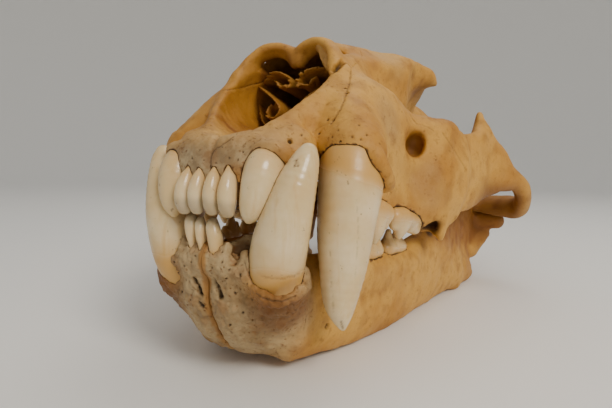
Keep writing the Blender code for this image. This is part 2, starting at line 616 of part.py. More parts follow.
def on_ground(jaw):
    """The jaw with flats where its lower edges rest."""
    level = rest_matrix()
    ground = level.inverted() @ Vector((0, 0, 0))
    upward = level.to_3x3().inverted() @ Vector((0, 0, 1))
    return trimmed(jaw, ground, upward.normalized())


def bone_material(name, colour, roughness):
    material = bpy.data.materials.new(name)
    material.use_nodes = True
    shader = material.node_tree.nodes["Principled BSDF"]
    shader.inputs["Base Color"].default_value = (*colour, 1)
    shader.inputs["Roughness"].default_value = roughness
    shader.inputs["Metallic"].default_value = 0.0
    return material


def place(name, mesh, colour, roughness):
    """Puts a finished mesh in the scene under its name, in the frame that it rests in."""
    mesh.transform(rest_matrix())
    mesh.name = name
    mesh.materials.clear()
    mesh.materials.append(bone_material(name, colour, roughness))
    mesh.shade_smooth()
    skull.objects.link(bpy.data.objects.new(name, mesh))


def build_skull():
    teeth = tooth_meshes()
    cranium = thinned(modelled(CRANIUM, True, BONE_VOXEL), CRANIUM_FACES)
    cranium = seated(cranium, [mesh for name, mesh in teeth.items() if name.startswith("upper")])
    for name, jaw in dentary_meshes().items():
        side = name.removeprefix("mandible")
        own = [mesh for tooth, mesh in teeth.items() if tooth.startswith("lower") and tooth.endswith(side)]
        jaw = seated(jaw, own)
        cranium = carved(cranium, swollen(jaw, JOINT_GAP))
        place(name, on_ground(jaw), JAW_COLOUR, 0.6)
    place("cranium", cranium, BONE_COLOUR, 0.6)
    for name, mesh in teeth.items():
        place(name, mesh, TOOTH_COLOUR, 0.3)


for old in list(bpy.data.objects):
    bpy.data.objects.remove(old)
skull = bpy.data.collections.new("panthera_onca_skull")
cutters = bpy.data.collections.new("cutters")
bpy.context.scene.collection.children.link(skull)
bpy.context.scene.collection.children.link(cutters)
build_skull()
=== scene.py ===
import math

import bmesh
import bpy
import numpy as np
from mathutils import Euler, Matrix, Vector, noise
from mathutils.bvhtree import BVHTree


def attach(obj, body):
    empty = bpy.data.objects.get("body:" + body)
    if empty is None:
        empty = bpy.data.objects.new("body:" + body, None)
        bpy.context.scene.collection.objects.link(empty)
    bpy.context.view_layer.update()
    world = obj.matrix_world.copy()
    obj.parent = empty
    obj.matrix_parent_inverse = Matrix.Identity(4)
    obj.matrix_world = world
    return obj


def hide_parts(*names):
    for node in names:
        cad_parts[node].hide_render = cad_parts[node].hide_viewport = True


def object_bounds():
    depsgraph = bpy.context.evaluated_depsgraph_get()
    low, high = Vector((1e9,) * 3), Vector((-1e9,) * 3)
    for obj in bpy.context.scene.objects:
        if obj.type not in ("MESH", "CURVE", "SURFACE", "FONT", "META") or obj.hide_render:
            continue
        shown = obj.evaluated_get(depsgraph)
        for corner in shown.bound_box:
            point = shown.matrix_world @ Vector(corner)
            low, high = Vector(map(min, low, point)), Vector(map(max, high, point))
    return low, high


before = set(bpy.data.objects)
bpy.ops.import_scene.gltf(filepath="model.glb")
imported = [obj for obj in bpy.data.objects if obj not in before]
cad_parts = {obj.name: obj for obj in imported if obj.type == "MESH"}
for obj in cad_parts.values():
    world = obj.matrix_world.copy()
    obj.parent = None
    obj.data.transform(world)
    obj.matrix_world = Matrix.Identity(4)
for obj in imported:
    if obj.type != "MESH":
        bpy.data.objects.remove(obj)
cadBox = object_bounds()

# Forms are placed in the skull's own frame, in millimetres: x to the animal's left,
# y from the upper incisors backwards, z up, with the palate level.
rest = {
    "jawFront": (78.0, 12.1),  # y and z of the jaw's lower edge under the cheek teeth
    "jawRear": (180.0, 27.9),  # y and z of it at the angular process
    "flat": 0.6,
    "middleY": 142.8,
}
# Voxels, in millimetres
grain = {"cranium": 1.5, "jaw": 1.3, "canine": 0.6, "cheekTooth": 0.5, "incisor": 0.36, "turbinate": 0.6}
triangles = {"cranium": 162000, "turbinates": 26000}  # kept of each after thinning
gaps = {"socket": 0.12, "symphysis": 0.4}
up = (0.0, 0.0, 1.0)
back = (0.0, 1.0, 0.0)
far = 60.0
beadGap = 0.6  # between beads along a form, as a share of its smallest radius
fineSettle = {"voxel": 0.6, "steps": 2}


def restMatrix():
    run = rest["jawRear"][0] - rest["jawFront"][0]
    rise = rest["jawRear"][1] - rest["jawFront"][1]
    tip = Matrix.Rotation(-math.atan2(rise, run), 4, "X")
    foot = tip @ Vector((0, rest["jawFront"][0], rest["jawFront"][1] + rest["flat"]))
    return Matrix.Scale(0.001, 4) @ Matrix.Translation((0, -rest["middleY"], -foot.z)) @ tip


toRest = restMatrix()

# The photograph's camera in the skull's own frame; focal and middle are in its pixels.
view = {"place": (77.3, -88.6, 53.6), "turn": 26.68, "rise": -2.64, "lean": 4.77, "lens": 24.118,
        "sensor": 36, "near": 0.01, "focal": 410, "middle": (306, 204)}


def viewAxes():
    turn, rise, lean = (math.radians(view[key]) for key in ("turn", "rise", "lean"))
    rear = Vector((math.sin(turn) * math.cos(rise), -math.cos(turn) * math.cos(rise), math.sin(rise)))
    right = Vector((math.cos(turn), math.sin(turn), 0))
    top = rear.cross(right)
    leanRight = right * math.cos(lean) + top * math.sin(lean)
    leanTop = top * math.cos(lean) - right * math.sin(lean)
    return Matrix((leanRight, leanTop, rear)).transposed()


def seenAt(tree, pixels):
    found = []
    for u, v in pixels:
        across = (u - view["middle"][0]) / view["focal"]
        down = (v - view["middle"][1]) / view["focal"]
        ray = viewAxes() @ Vector((across, -down, -1))
        spot = tree.ray_cast(Vector(view["place"]), ray.normalized())[0]
        if spot:
            found.append(spot)
    return np.array(found)


# A lump is an ellipsoid, and a strap is an oval swept along a smooth path. A late form adds
# again after the hollows are cut. A form that is both late and a cut acts as the points settle.
def lump(centre, radii, turn=(0, 0, 0), blend=3.0, cut=False, late=False):
    rotation = Euler([math.radians(a) for a in turn]).to_matrix()
    return {"path": np.array([centre], float), "radii": np.array(radii, float),
            "turn": np.array(rotation), "blend": blend, "cut": cut, "late": late}


def smoothRows(rows, steps=4):
    rows = np.array(rows, float)
    if len(rows) == 2:
        return rows
    ends = np.vstack([2 * rows[0] - rows[1], rows, 2 * rows[-1] - rows[-2]])
    found = []
    for a, b, c, d in zip(ends, ends[1:], ends[2:], ends[3:]):
        for t in np.arange(steps) / steps:
            found.append(0.5 * (2 * b + (c - a) * t + (2 * a - 5 * b + 4 * c - d) * t**2
                                + (d - 3 * c + 3 * b - a) * t**3))
    found.append(rows[-1])
    return np.array(found)


def strap(path, wide, tall, up=up, blend=3.0, cut=False, late=False):
    count = len(path)
    wide = np.broadcast_to(np.array(wide, float), (count,))
    tall = np.broadcast_to(np.array(tall, float), (count,))
    rows = smoothRows(np.column_stack([path, wide, tall]))
    upward = np.array(up, float)
    return {"path": rows[:, :3], "wide": rows[:, 3], "tall": rows[:, 4],
            "up": upward / np.linalg.norm(upward), "blend": blend, "cut": cut, "late": late}


craniumForms = {
    "braincase": lump((0, 182, 104), (38, 50, 33), blend=6),
    "braincase rear": lump((0, 214, 97), (37, 26, 27), blend=8),
    "waist": strap([(0, 118, 112), (0, 140, 112), (0, 160, 110)], [26, 22, 30], [24, 24, 26], blend=10),
    "sagittal crest": strap([(0, 146, 131), (0, 170, 135), (0, 200, 135), (0, 232, 129), (0, 256, 120)],
        [2.2, 2, 2, 2.2, 2.6], [6, 8, 11, 14, 9], blend=6),
    "nuchal crest": strap([(0, 256, 121), (14, 251, 120), (29, 240, 110), (41, 226, 96), (47, 214, 84)],
        [2.6, 2.4, 2.3, 2.4, 3], [7, 7, 7, 6, 5], up=(0, 0.8, 0.6), blend=5),
    "occiput": strap([(0, 228, 92), (0, 238, 96)], [32, 24], [24, 20], blend=8),
    "skull base": strap([(0, 110, 84), (0, 165, 80), (0, 205, 77), (0, 236, 76)], [10, 12, 17, 16],
        [5, 6, 6, 5], blend=6),
    "occipital condyle": strap([(7, 242, 71), (15, 246, 79), (16, 243, 88)], [6, 7, 5], [6, 7, 5],
        up=back),
    "bulla": lump((28, 203, 75), (12, 18, 12), turn=(0, 0, 12)),
    "mastoid": lump((45, 214, 80), (6, 8, 10), blend=6),
    "paroccipital": lump((36, 224, 74), (5, 5, 11), turn=(-14, 0, 0), blend=5),
    "forehead": lump((0, 106, 116), (33, 40, 20), blend=8),
    "frontal plate": strap([(14, 72, 118), (19, 92, 124), (22, 112, 127), (16, 132, 128), (6, 150, 130)],
        [14, 14, 15, 12, 6], [7, 8, 8, 7, 6], blend=10),
    "brow": strap([(24, 92, 126), (30, 104, 128.5), (34, 114, 129)], [6, 6, 5.5], [5, 5, 4.5], blend=8),
    "temporal ridge": strap([(36, 118, 128), (27, 130, 132), (14, 142, 136), (3, 154, 137)],
        [3.5, 3.5, 3.5, 3], [4, 5, 5, 5], blend=8),
    "sphenoid": strap([(0, 85, 100), (0, 130, 100)], [17, 17], [24, 22], blend=8),
    "muzzle": strap([(0, 14.5, 76), (0, 24, 82), (0, 36, 88.5), (0, 60, 95), (0, 90, 103)],
        [15.5, 19.5, 24.5, 30, 32], [7, 11.5, 17, 25, 28], blend=6),
    "nasal roof": strap([(8, 45.5, 118), (8.2, 56, 121.5), (8, 78, 127.5), (7, 98, 131)],
        [8.4, 9.3, 10, 11], [4, 4.2, 4.6, 5], blend=6),
    "nasal wall": strap([(21.5, 42, 105), (21, 52, 110.5), (18, 72, 118)], [3, 4, 5], [4.5, 6.5, 6],
        blend=6),
    "canine bulge": strap([(32, 31, 77), (30, 34.5, 83), (26.8, 38.5, 89), (22.8, 44, 97),
        (17.5, 52, 106)], [10.8, 9.4, 8.4, 7.2, 6], [11, 10, 9.4, 9, 8], up=back, blend=7),
    "cheek": lump((31, 62, 84), (10.5, 34, 23), turn=(0, 0, -8), blend=8),
    "upper tooth row": strap([(30, 44, 69.5), (34, 56, 66), (38.6, 72, 64), (41.4, 84, 62.5),
        (42.6, 94, 62)], [6, 5.2, 5, 5, 5], [9, 8, 8, 8, 8], blend=5),
    "palate": strap([(0, 16, 77), (0, 50, 80), (0, 104, 81)], [16, 30, 22], [3.5, 3.5, 4], blend=5),
    "premaxilla": strap([(0, 8, 70.8), (8, 8.4, 71), (14, 11.5, 72.2), (19, 17, 75.5)],
        [6.4, 6.4, 6, 5.5], [7.8, 7.8, 7.4, 6.6], blend=4),
    "nose rim": strap([(11.5, 17, 80), (17.2, 25, 88.5), (21, 34, 98.5), (21.8, 40, 106)],
        [2.4, 2.4, 2.3, 2.4], [2.6, 2.6, 2.6, 2.8], blend=4),
    "canine lip": strap([(25, 40, 71.5), (33, 43.5, 69), (41, 38.5, 68), (43.4, 31, 69.5),
        (42, 25, 73.5)], [3, 3.2, 2.8, 2.2, 2], [3, 3.2, 3, 2.6, 2.4], blend=5),
    "cheekbone root": strap([(38, 80, 84), (46, 86, 79.6), (54, 98, 78.6)], [8, 8, 6], [18, 21.5, 20.5],
        blend=8),
    "orbit floor": strap([(36, 74, 93), (42, 80, 94.5), (50, 92, 97.5)], [6, 6, 5], [5, 4.5, 4], blend=6),
    "cheekbone arch": strap([(50, 97, 79.6), (57.5, 110, 82.8), (63, 124, 88), (69, 134, 88),
        (73.5, 142, 85.5), (78, 150, 84.3), (81.5, 157, 81), (82.4, 165, 75.5), (79.5, 174, 72),
        (68, 181, 72)], [6, 4.8, 4.2, 4.2, 4.4, 4.4, 4.6, 4.4, 5, 6.5],
        [18.5, 17.8, 16.2, 13.5, 8.2, 5.4, 5.2, 5.6, 6, 6.5], blend=5),
    "jaw joint root": strap([(32, 180, 88), (46, 182, 78), (58, 184, 71.5), (68, 184, 72), (76, 182, 73)],
        [12, 10, 8.5, 7.5, 6.5], [8, 7, 6, 6, 6], blend=7),
    "postglenoid process": strap([(44, 193, 74), (58, 193, 70), (68, 191, 68)], [3, 3, 2.5], [8, 8, 5],
        blend=4),
    "pterygoid": strap([(11, 104, 80), (10.5, 124, 76), (11, 142, 70)], [1.9, 1.9, 1.8], [8, 8, 5],
        blend=3),
    "jaw joint hollow": strap([(42, 184, 65.5), (77, 183, 64)], 6.8, 6.8, blend=2, cut=True),
    "eye socket": lump((50, 106, 121.5), (17.5, 22, 19.5), turn=(0, 0, -22), blend=4, cut=True),
    "eye socket rear": lump((42, 122, 108), (16, 24, 20), turn=(0, 0, -12), blend=6, cut=True),
    "temporal hollow": lump((46, 142, 112), (15, 26, 30), blend=8, cut=True),
    "nasal cavity": strap([(0, 9, 88), (0, 26, 94), (0, 40, 100), (0, 60, 101), (0, 86, 103)],
        [11.5, 16.6, 20, 18, 14], [10.5, 13.5, 16, 17, 16], blend=2.5, cut=True),
    "nasal vault": strap([(9, 34, 114.5), (8.6, 50, 116.5), (8, 68, 119.5)], [8, 7.4, 7], [4.4, 4.6, 5],
        blend=2, cut=True),
    "infraorbital opening": strap([(44.5, 64, 87), (42.8, 70, 87.6), (41, 76, 88.2)], [4.1, 3.9, 3.4],
        [5.2, 5, 4.2], blend=2, cut=True),
    "foramen magnum": lump((0, 248, 82), (9.5, 14, 8), blend=2, cut=True),
    "throat": strap([(0, 110, 74), (0, 140, 72)], 8, 8, cut=True),
    "palate vault": lump((0, 58, 67), (24, 52, 9), blend=4, cut=True),
    "nasal edge": strap([(1, 47.5, 115.6), (4, 47, 118.4), (8.5, 45.8, 120.2), (14, 44, 118.6),
        (18.4, 41, 113.8), (20.6, 38, 108)], [3, 3.4, 4, 4, 3.6, 2.8], [2.4, 2.2, 2, 2.2, 2.3, 2.2],
        up=(0.6, 0, 0.8), blend=3, late=True),
    "nasal middle": strap([(1.2, 47, 116.4), (1.2, 64, 120.5)], [1.8, 1.8], [3.4, 3.4], blend=2,
        late=True),
    "postorbital process": strap([(30, 110, 130.5), (34.4, 117, 131.4), (37, 120, 130.6),
        (39, 122, 129.4)], [5, 4.2, 3, 1.5], [5.2, 3.7, 2.5, 1.4], blend=4, late=True),
    "cheekbone spike": strap([(61.6, 121, 99), (61.4, 124, 106.5), (60.8, 125, 113)], [4.2, 3.5, 2],
        [7.5, 5.4, 2.6], up=back, blend=4, late=True),
}

jawForms = {
    "body": strap([(15, 30, 25.5), (19, 42, 26.5), (25, 58, 27.5), (31, 80, 29.5), (38, 108, 34.5),
        (44, 132, 40), (49, 150, 44)], [8, 8, 8, 8, 7, 5.5, 4.5], [17, 17.5, 17.5, 17, 17, 18, 18],
        blend=6),
    "chin": strap([(5, 12, 39), (4.5, 15, 30), (3.6, 21.5, 21.5), (2.4, 29, 17)], [7, 6.5, 5.6, 4.5],
        [8, 8, 8, 7.5], up=(0, 1, 0.6), blend=6),
    "canine socket": strap([(17.6, 17, 35), (14.5, 22.5, 27), (11, 31, 21)], [9, 7.4, 6], [10.3, 9, 7.5],
        up=back, blend=5),
    "chin base": strap([(5, 16, 30), (6, 26, 20.5), (8, 40, 16)], [8, 8, 9], [7, 8, 8], blend=6),
    "tooth row": strap([(27.5, 40, 37), (30.5, 57, 38.5), (34.4, 76, 40.5), (37, 90, 41)],
        [4.6, 4.8, 4.8, 4.5], [5.5, 5.8, 5.8, 5.2], blend=6),
    "incisor shelf": strap([(0, 6.5, 41), (7, 7.5, 41), (13, 9.5, 40), (17, 14, 38)], [4, 4.2, 4.5, 4],
        [4.5, 4.5, 4.5, 4], blend=3),
    "angular process": strap([(47, 143, 38), (51, 159, 36), (53.6, 172, 33.6), (54.6, 183, 32.2)],
        [4.5, 4.5, 4.4, 3.6], [10, 9, 6.5, 4], blend=6),
    "ramus": strap([(38, 96, 40), (42, 112, 44), (46.5, 130, 52), (50, 150, 60), (52.2, 166, 58),
        (54, 180, 52)], [4, 3.6, 3.2, 3, 3, 3], [9, 14, 22, 31, 31, 18], blend=6),
    "coronoid process": strap([(52, 150, 82), (53, 163, 98), (53, 174, 108)], [2.6, 2.4, 2], [13, 9, 3],
        up=(0, 1, -0.4), blend=8),
    "condyle neck": strap([(56, 182, 46), (59, 185, 57)], [4.5, 7.5], [7, 5], up=back, blend=6),
    "condyle": strap([(46, 184.5, 66), (58, 184.5, 65), (69, 183.5, 64.5)], [4.8, 5.8, 5], [4.8, 5.8, 5]),
    "masseter hollow": lump((64, 150, 54), (10, 26, 24), turn=(0, 0, -12), blend=6, cut=True),
}


def horn(path, wide, tall):
    return {"horn": strap(path, wide, tall, up=back, blend=1)}


def cusp(path, wide, tall):
    return strap(path, wide, tall, up=back, blend=2)


upperCanine = horn([(30, 35.5, 84), (32.1, 31, 74), (33.1, 28.6, 65.3), (33.1, 27.2, 53),
    (33.3, 26.8, 42.3), (33.2, 26.8, 32.4), (33.8, 27, 27.6), (34.5, 27.4, 23.8)],
    [7.4, 9.7, 9.7, 8.6, 7.2, 5.2, 3.3, 1.1], [8.4, 11, 10.8, 9.2, 7.6, 5.6, 3.5, 1.2])
lowerCanine = horn([(12.5, 24, 24), (17.2, 16.5, 33), (18.6, 13.2, 38), (19.7, 11.3, 42.3),
    (20.9, 9.9, 47.5), (22.6, 9.1, 54), (24.4, 9.3, 62.3), (26.1, 10.2, 69.4), (26.8, 10.8, 73)],
    [5.5, 6.6, 7.4, 7.8, 7.8, 7.1, 5.8, 4.1, 2.5], [6.5, 7.6, 8.2, 8.3, 8, 7.2, 6, 4.3, 2.8])
lowerCanineUpright = horn([(11.5, 24, 24), (15.4, 16.5, 33), (16.6, 13.2, 38), (17.5, 11.3, 42.3),
    (18.6, 9.9, 47.5), (20.6, 9.1, 54), (23, 9.3, 62.3), (25.6, 10.2, 69.4), (26.8, 10.8, 73)],
    [5.5, 6.6, 7.2, 7.4, 7.3, 6.8, 5.6, 4.1, 2.5], [6.5, 7.4, 7.8, 7.9, 7.7, 7, 6, 4.3, 2.8])
upperIncisor1 = horn([(2.4, 4.6, 69), (2.5, 2.6, 66), (2.6, 1.6, 63.4), (2.7, 1.1, 60.2), (2.7, 1.4, 57),
    (2.7, 2, 54.7)], [1.2, 1, 1.9, 2.3, 2.35, 2.1], [1.8, 1.8, 2.4, 2.8, 2.4, 1.3])
upperIncisor2 = horn([(6.8, 5.2, 69.5), (7.1, 3.1, 66.2), (7.5, 2.1, 63.4), (7.7, 1.6, 60.1),
    (7.8, 1.8, 56.8), (7.7, 2.4, 54.5)], [1.3, 1.15, 2.1, 2.55, 2.55, 2.25], [2, 1.9, 2.6, 3.1, 2.6, 1.4])
upperIncisor3 = horn([(14.4, 17, 77), (15, 12.6, 73), (15.3, 9.2, 69.5), (15.4, 6.8, 65.5),
    (15, 5.4, 60.5), (14.2, 4.7, 56.2), (13.6, 4.5, 53.6)], [3.8, 5, 5.5, 5.4, 4.6, 3.3, 1.6],
    [4.5, 5.6, 6.4, 6.4, 5.3, 3.8, 1.6])
lowerIncisor1Left = horn([(2.6, 6.4, 41), (2.4, 5.6, 45), (2.2, 4.9, 47.5), (1.3, 4.7, 50.2),
    (0.7, 5, 52)], [1.6, 1.9, 2.1, 2.1, 1.8], [2.2, 2.4, 2.3, 1.9, 0.9])
lowerIncisor1Right = horn([(-2, 6.4, 41), (-2.1, 5.6, 45), (-2.5, 4.9, 47.3), (-3.2, 4.7, 50.2),
    (-3.7, 5, 52)], [1, 1.2, 1.35, 1.55, 1.4], [1.8, 2.1, 2.2, 1.8, 0.9])
lowerIncisor2Right = horn([(-5.6, 7, 41), (-6, 6.1, 45), (-6.5, 5.4, 48), (-7.2, 5.1, 51),
    (-7.7, 5.4, 52.8)], [1, 1.3, 1.75, 1.95, 1.7], [1.9, 2.2, 2.4, 2, 0.9])
upperPremolar3 = {
    "base": cusp([(34.6, 44.6, 60), (37.4, 52, 59.5)], [3.2, 3.4], [3.2, 3.4]),
    "main cusp": cusp([(36, 48, 60), (36.2, 47.7, 54), (36, 47.5, 49.3)], [3.8, 3.1, 1.1],
        [5.2, 4.2, 1.2]),
    "rear cusp": cusp([(37.4, 52.4, 58.5), (37.6, 52.3, 55)], [2.8, 1.5], [2.8, 1.6]),
    "front cusp": cusp([(34.8, 44.4, 58.5), (34.8, 44, 56.4)], [2.2, 1.3], [2.3, 1.3]),
}
upperCarnassial = {
    "base": cusp([(39.2, 59.6, 58.8), (40.8, 69, 58.2), (42, 80.3, 58)], [3.2, 3.6, 3.2], [3.2, 4, 3.3]),
    "main cusp": cusp([(40.2, 65, 58.5), (40.4, 64.4, 55), (40.3, 64, 51.5)], [3.8, 3, 1.2],
        [5.4, 4, 1.5]),
    "front cusp": cusp([(39.2, 59.8, 58), (39.2, 59.4, 55)], [2.7, 1.4], [2.8, 1.6]),
    "rear blade": cusp([(41.4, 75, 57), (42, 79.6, 55.8)], [2.6, 2.4], [3.4, 3.2]),
    "rear edge": cusp([(41.2, 73.5, 54.8), (42.2, 81, 54.6)], [1.3, 1.3], [1.8, 1.8]),
    "inner cusp": cusp([(35.6, 61.5, 59.5), (35.4, 61.2, 56.8)], [3, 1.8], [3, 1.8]),
}
upperMolar = {"bar": cusp([(35.5, 87.4, 59), (40.2, 88, 58)], [2.2, 2.4], [2.2, 2])}
lowerPremolar3 = {
    "base": cusp([(27.2, 39, 44), (28.6, 45.6, 44.5)], [2.8, 2.9], [2.8, 2.9]),
    "main cusp": cusp([(27.8, 42.4, 44), (28, 42.2, 50.5)], [2.8, 1], [4, 1.2]),
}
lowerPremolar4 = {
    "base": cusp([(30, 51.8, 44.5), (32.2, 61.6, 45.5)], [3, 3.1], [3, 3.1]),
    "main cusp": cusp([(31, 56.8, 45), (31.2, 56.4, 54)], [3.3, 1], [4.8, 1.3]),
    "rear cusp": cusp([(32.2, 61.4, 46), (32.3, 61.6, 50.5)], [2.5, 1.4], [2.7, 1.5]),
    "front cusp": cusp([(30, 51.4, 45), (30, 51, 48.5)], [2, 1.2], [2.1, 1.3]),
}
lowerCarnassial = {
    "base": cusp([(33.8, 69.8, 46), (35.8, 83.2, 47.2)], [3.1, 3.3], [3.1, 3.3]),
    "front blade": cusp([(34.1, 72, 47), (34.2, 71.4, 53)], [3, 1], [4.6, 2.2]),
    "rear blade": cusp([(35.4, 79.8, 47.5), (35.5, 79.2, 54)], [3, 1], [4.8, 2.2]),
}


# Signed distance from the forms, in millimetres
def ovalDistance(local, radii):
    scaled = np.linalg.norm(local / radii, axis=1)
    slope = np.linalg.norm(local / radii**2, axis=1)
    return scaled * (scaled - 1) / np.maximum(slope, 1e-6)


def stretchAxes(along, upward):
    upward = upward - (upward @ along) * along
    if np.linalg.norm(upward) < 1e-3:
        upward = np.array([1.0, 0, 0]) - along[0] * along
    upward /= np.linalg.norm(upward)
    return np.column_stack([np.cross(along, upward), upward, along])


def stretches(form):
    for i in range(len(form["path"]) - 1):
        start = form["path"][i]
        run = form["path"][i + 1] - start
        axes = stretchAxes(run / np.linalg.norm(run), form["up"])
        yield start, run, axes, form["wide"][i : i + 2], form["tall"][i : i + 2]


def formDistance(form, points):
    if "radii" in form:
        return ovalDistance((points - form["path"][0]) @ form["turn"], form["radii"])
    nearest = np.full(len(points), far)
    for start, run, axes, wide, tall in stretches(form):
        share = np.clip((points - start) @ run / (run @ run), 0, 1)
        local = (points - start - share[:, None] * run) @ axes
        across = wide[0] + (wide[1] - wide[0]) * share
        upward = tall[0] + (tall[1] - tall[0]) * share
        radii = np.column_stack([across, upward, np.minimum(across, upward)])
        nearest = np.minimum(nearest, ovalDistance(local, radii))
    return nearest


def reachOf(form):
    margin = form["blend"] + 5
    if "radii" in form:
        half = np.linalg.norm(form["turn"] * form["radii"], axis=1)
        return form["path"][0] - half - margin, form["path"][0] + half + margin
    half = np.maximum(form["wide"], form["tall"])[:, None] + margin
    return (form["path"] - half).min(axis=0), (form["path"] + half).max(axis=0)


def fieldOf(forms, points, bothSides):
    depth = np.full(len(points), far)
    points = points.copy()
    if bothSides:
        points[:, 0] = np.abs(points[:, 0])
    for form in forms.values():
        low, high = reachOf(form)
        near = np.flatnonzero(((points > low) & (points < high)).all(axis=1))
        if not len(near):
            continue
        away = formDistance(form, points[near])
        soFar = depth[near]
        blend = form["blend"]
        if form["cut"]:
            away = -away
        meet = np.maximum(blend - np.abs(soFar - away), 0) / blend
        if form["cut"]:
            depth[near] = np.maximum(soFar, away) + meet**2 * blend / 4
        else:
            depth[near] = np.minimum(soFar, away) - meet**2 * blend / 4
    return depth


# Beads fill the forms, a voxel remesh joins them, and the points settle on the forms
def addBead(beads, centre, shape):
    matrix = Matrix(shape.tolist()).to_4x4()
    matrix.translation = Vector(centre)
    bmesh.ops.create_icosphere(beads, subdivisions=2, radius=1.0, matrix=matrix)


def beadString(form, bothSides):
    flip = np.diag([-1.0, 1.0, 1.0])
    places = []
    if "radii" in form:
        places.append((form["path"][0], form["turn"] * form["radii"]))
    else:
        for start, run, axes, wide, tall in stretches(form):
            smallest = min(wide.min(), tall.min())
            count = max(1, math.ceil(np.linalg.norm(run) / (beadGap * smallest)))
            for share in np.linspace(0, 1, count + 1):
                across = wide[0] + (wide[1] - wide[0]) * share
                upward = tall[0] + (tall[1] - tall[0]) * share
                places.append((start + run * share, axes * [across, upward, min(across, upward)]))
    beads = bmesh.new()
    for centre, shape in places:
        addBead(beads, centre, shape)
        if bothSides:
            addBead(beads, flip @ centre, flip @ shape @ flip)
    mesh = bpy.data.meshes.new("beads")
    beads.to_mesh(mesh)
    beads.free()
    return mesh


def joined(meshes):
    together = bmesh.new()
    for mesh in meshes:
        together.from_mesh(mesh)
    mesh = bpy.data.meshes.new("joined")
    together.to_mesh(mesh)
    together.free()
    return mesh


def modified(mesh, kind, **settings):
    holder = bpy.data.objects.new("holder", mesh)
    bpy.context.scene.collection.objects.link(holder)
    modifier = holder.modifiers.new(kind, kind)
    for name, value in settings.items():
        setattr(modifier, name, value)
    graph = bpy.context.evaluated_depsgraph_get()
    changed = bpy.data.meshes.new_from_object(holder.evaluated_get(graph))
    bpy.data.objects.remove(holder)
    return changed


def remeshed(mesh, voxel):
    return modified(mesh, "REMESH", mode="VOXEL", voxel_size=voxel)


def carved(mesh, cutterMesh):
    cutter = bpy.data.objects.new("cutter", cutterMesh)
    bpy.context.scene.collection.objects.link(cutter)
    restMesh = modified(mesh, "BOOLEAN", operation="DIFFERENCE", solver="MANIFOLD", object=cutter)
    bpy.data.objects.remove(cutter)
    return restMesh


def largestPiece(mesh):
    work = bmesh.new()
    work.from_mesh(mesh)
    unseen = set(work.verts)
    pieces = []
    while unseen:
        piece = [unseen.pop()]
        for vert in piece:
            for edge in vert.link_edges:
                other = edge.other_vert(vert)
                if other in unseen:
                    unseen.remove(other)
                    piece.append(other)
        pieces.append(piece)
    pieces.sort(key=len)
    for piece in pieces[:-1]:
        bmesh.ops.delete(work, geom=piece, context="VERTS")
    work.to_mesh(mesh)
    work.free()
    return mesh


def pointsOf(mesh):
    flat = np.empty(3 * len(mesh.vertices))
    mesh.vertices.foreach_get("co", flat)
    return flat.reshape(-1, 3)


def normalsOf(mesh):
    flat = np.empty(3 * len(mesh.vertices))
    mesh.vertex_normals.foreach_get("vector", flat)
    return flat.reshape(-1, 3)


def movePoints(mesh, points):
    mesh.vertices.foreach_set("co", points.ravel())
    mesh.update()


def neighbourMean(mesh, values):
    flat = np.empty(2 * len(mesh.edges), int)
    mesh.edges.foreach_get("vertices", flat)
    a, b = flat.reshape(-1, 2).T
    count = np.bincount(a, minlength=len(values)) + np.bincount(b, minlength=len(values))
    total = np.zeros(values.shape)
    for column in range(values.shape[1]):
        fromB = np.bincount(a, values[b, column], len(values))
        total[:, column] = fromB + np.bincount(b, values[a, column], len(values))
    return total / np.maximum(count, 1)[:, None]


def settle(mesh, forms, bothSides, voxel, steps=4):
    for step in range(steps):
        points = pointsOf(mesh)
        if step:
            points += 0.5 * (neighbourMean(mesh, points) - points)
            movePoints(mesh, points)
        away = np.clip(0.9 * fieldOf(forms, points, bothSides), -voxel, voxel)
        movePoints(mesh, points - normalsOf(mesh) * away[:, None])


def modelled(forms, bothSides, voxel):
    def stage(cut, late):
        chosen = [form for form in forms.values() if form["cut"] == cut and form["late"] == late]
        return joined([beadString(form, bothSides) for form in chosen]) if chosen else None

    mesh = remeshed(stage(False, False), voxel)
    hollow = stage(True, False)
    if hollow:
        mesh = carved(mesh, remeshed(hollow, voxel))
        added = stage(False, True)
        if added:
            mesh = joined([mesh, added])
        mesh = largestPiece(remeshed(mesh, voxel))
    settle(mesh, forms, bothSides, voxel)
    return mesh


def lightened(mesh, limit):
    count = sum(len(face.vertices) - 2 for face in mesh.polygons)
    return modified(mesh, "DECIMATE", ratio=limit / count, use_collapse_triangulate=True)


def mirrored(mesh):
    other = mesh.copy()
    movePoints(other, pointsOf(mesh) * (-1, 1, 1))
    other.flip_normals()
    return other


def swollen(mesh, gap):
    bigger = mesh.copy()
    movePoints(bigger, pointsOf(mesh) + normalsOf(mesh) * gap)
    return bigger


def trimmed(mesh, point, normal):
    work = bmesh.new()
    work.from_mesh(mesh)
    geometry = work.verts[:] + work.edges[:] + work.faces[:]
    bmesh.ops.bisect_plane(work, geom=geometry, dist=1e-5, plane_co=point, plane_no=normal, clear_inner=True)
    bmesh.ops.holes_fill(work, edges=[edge for edge in work.edges if edge.is_boundary])
    bmesh.ops.triangulate(work, faces=[face for face in work.faces if len(face.verts) > 4])
    work.to_mesh(mesh)
    work.free()
    return mesh


# Surface relief and tones
def noiseAt(points, scale, seed):
    shift = Vector((seed, seed * 1.7, seed * 0.3))
    return np.array([noise.noise(Vector(p) / scale + shift) for p in points.tolist()])


def ramp(values, low, high):
    share = np.clip((values - low) / (high - low), 0, 1)
    return share * share * (3 - 2 * share)


def paint(mesh, tones):
    layer = mesh.attributes.get("tones") or mesh.attributes.new("tones", "FLOAT_COLOR", "POINT")
    flat = np.column_stack([np.clip(np.broadcast_to(t, len(mesh.vertices)), 0, 1) for t in tones])
    layer.data.foreach_set("color", flat.astype(np.float32).ravel())


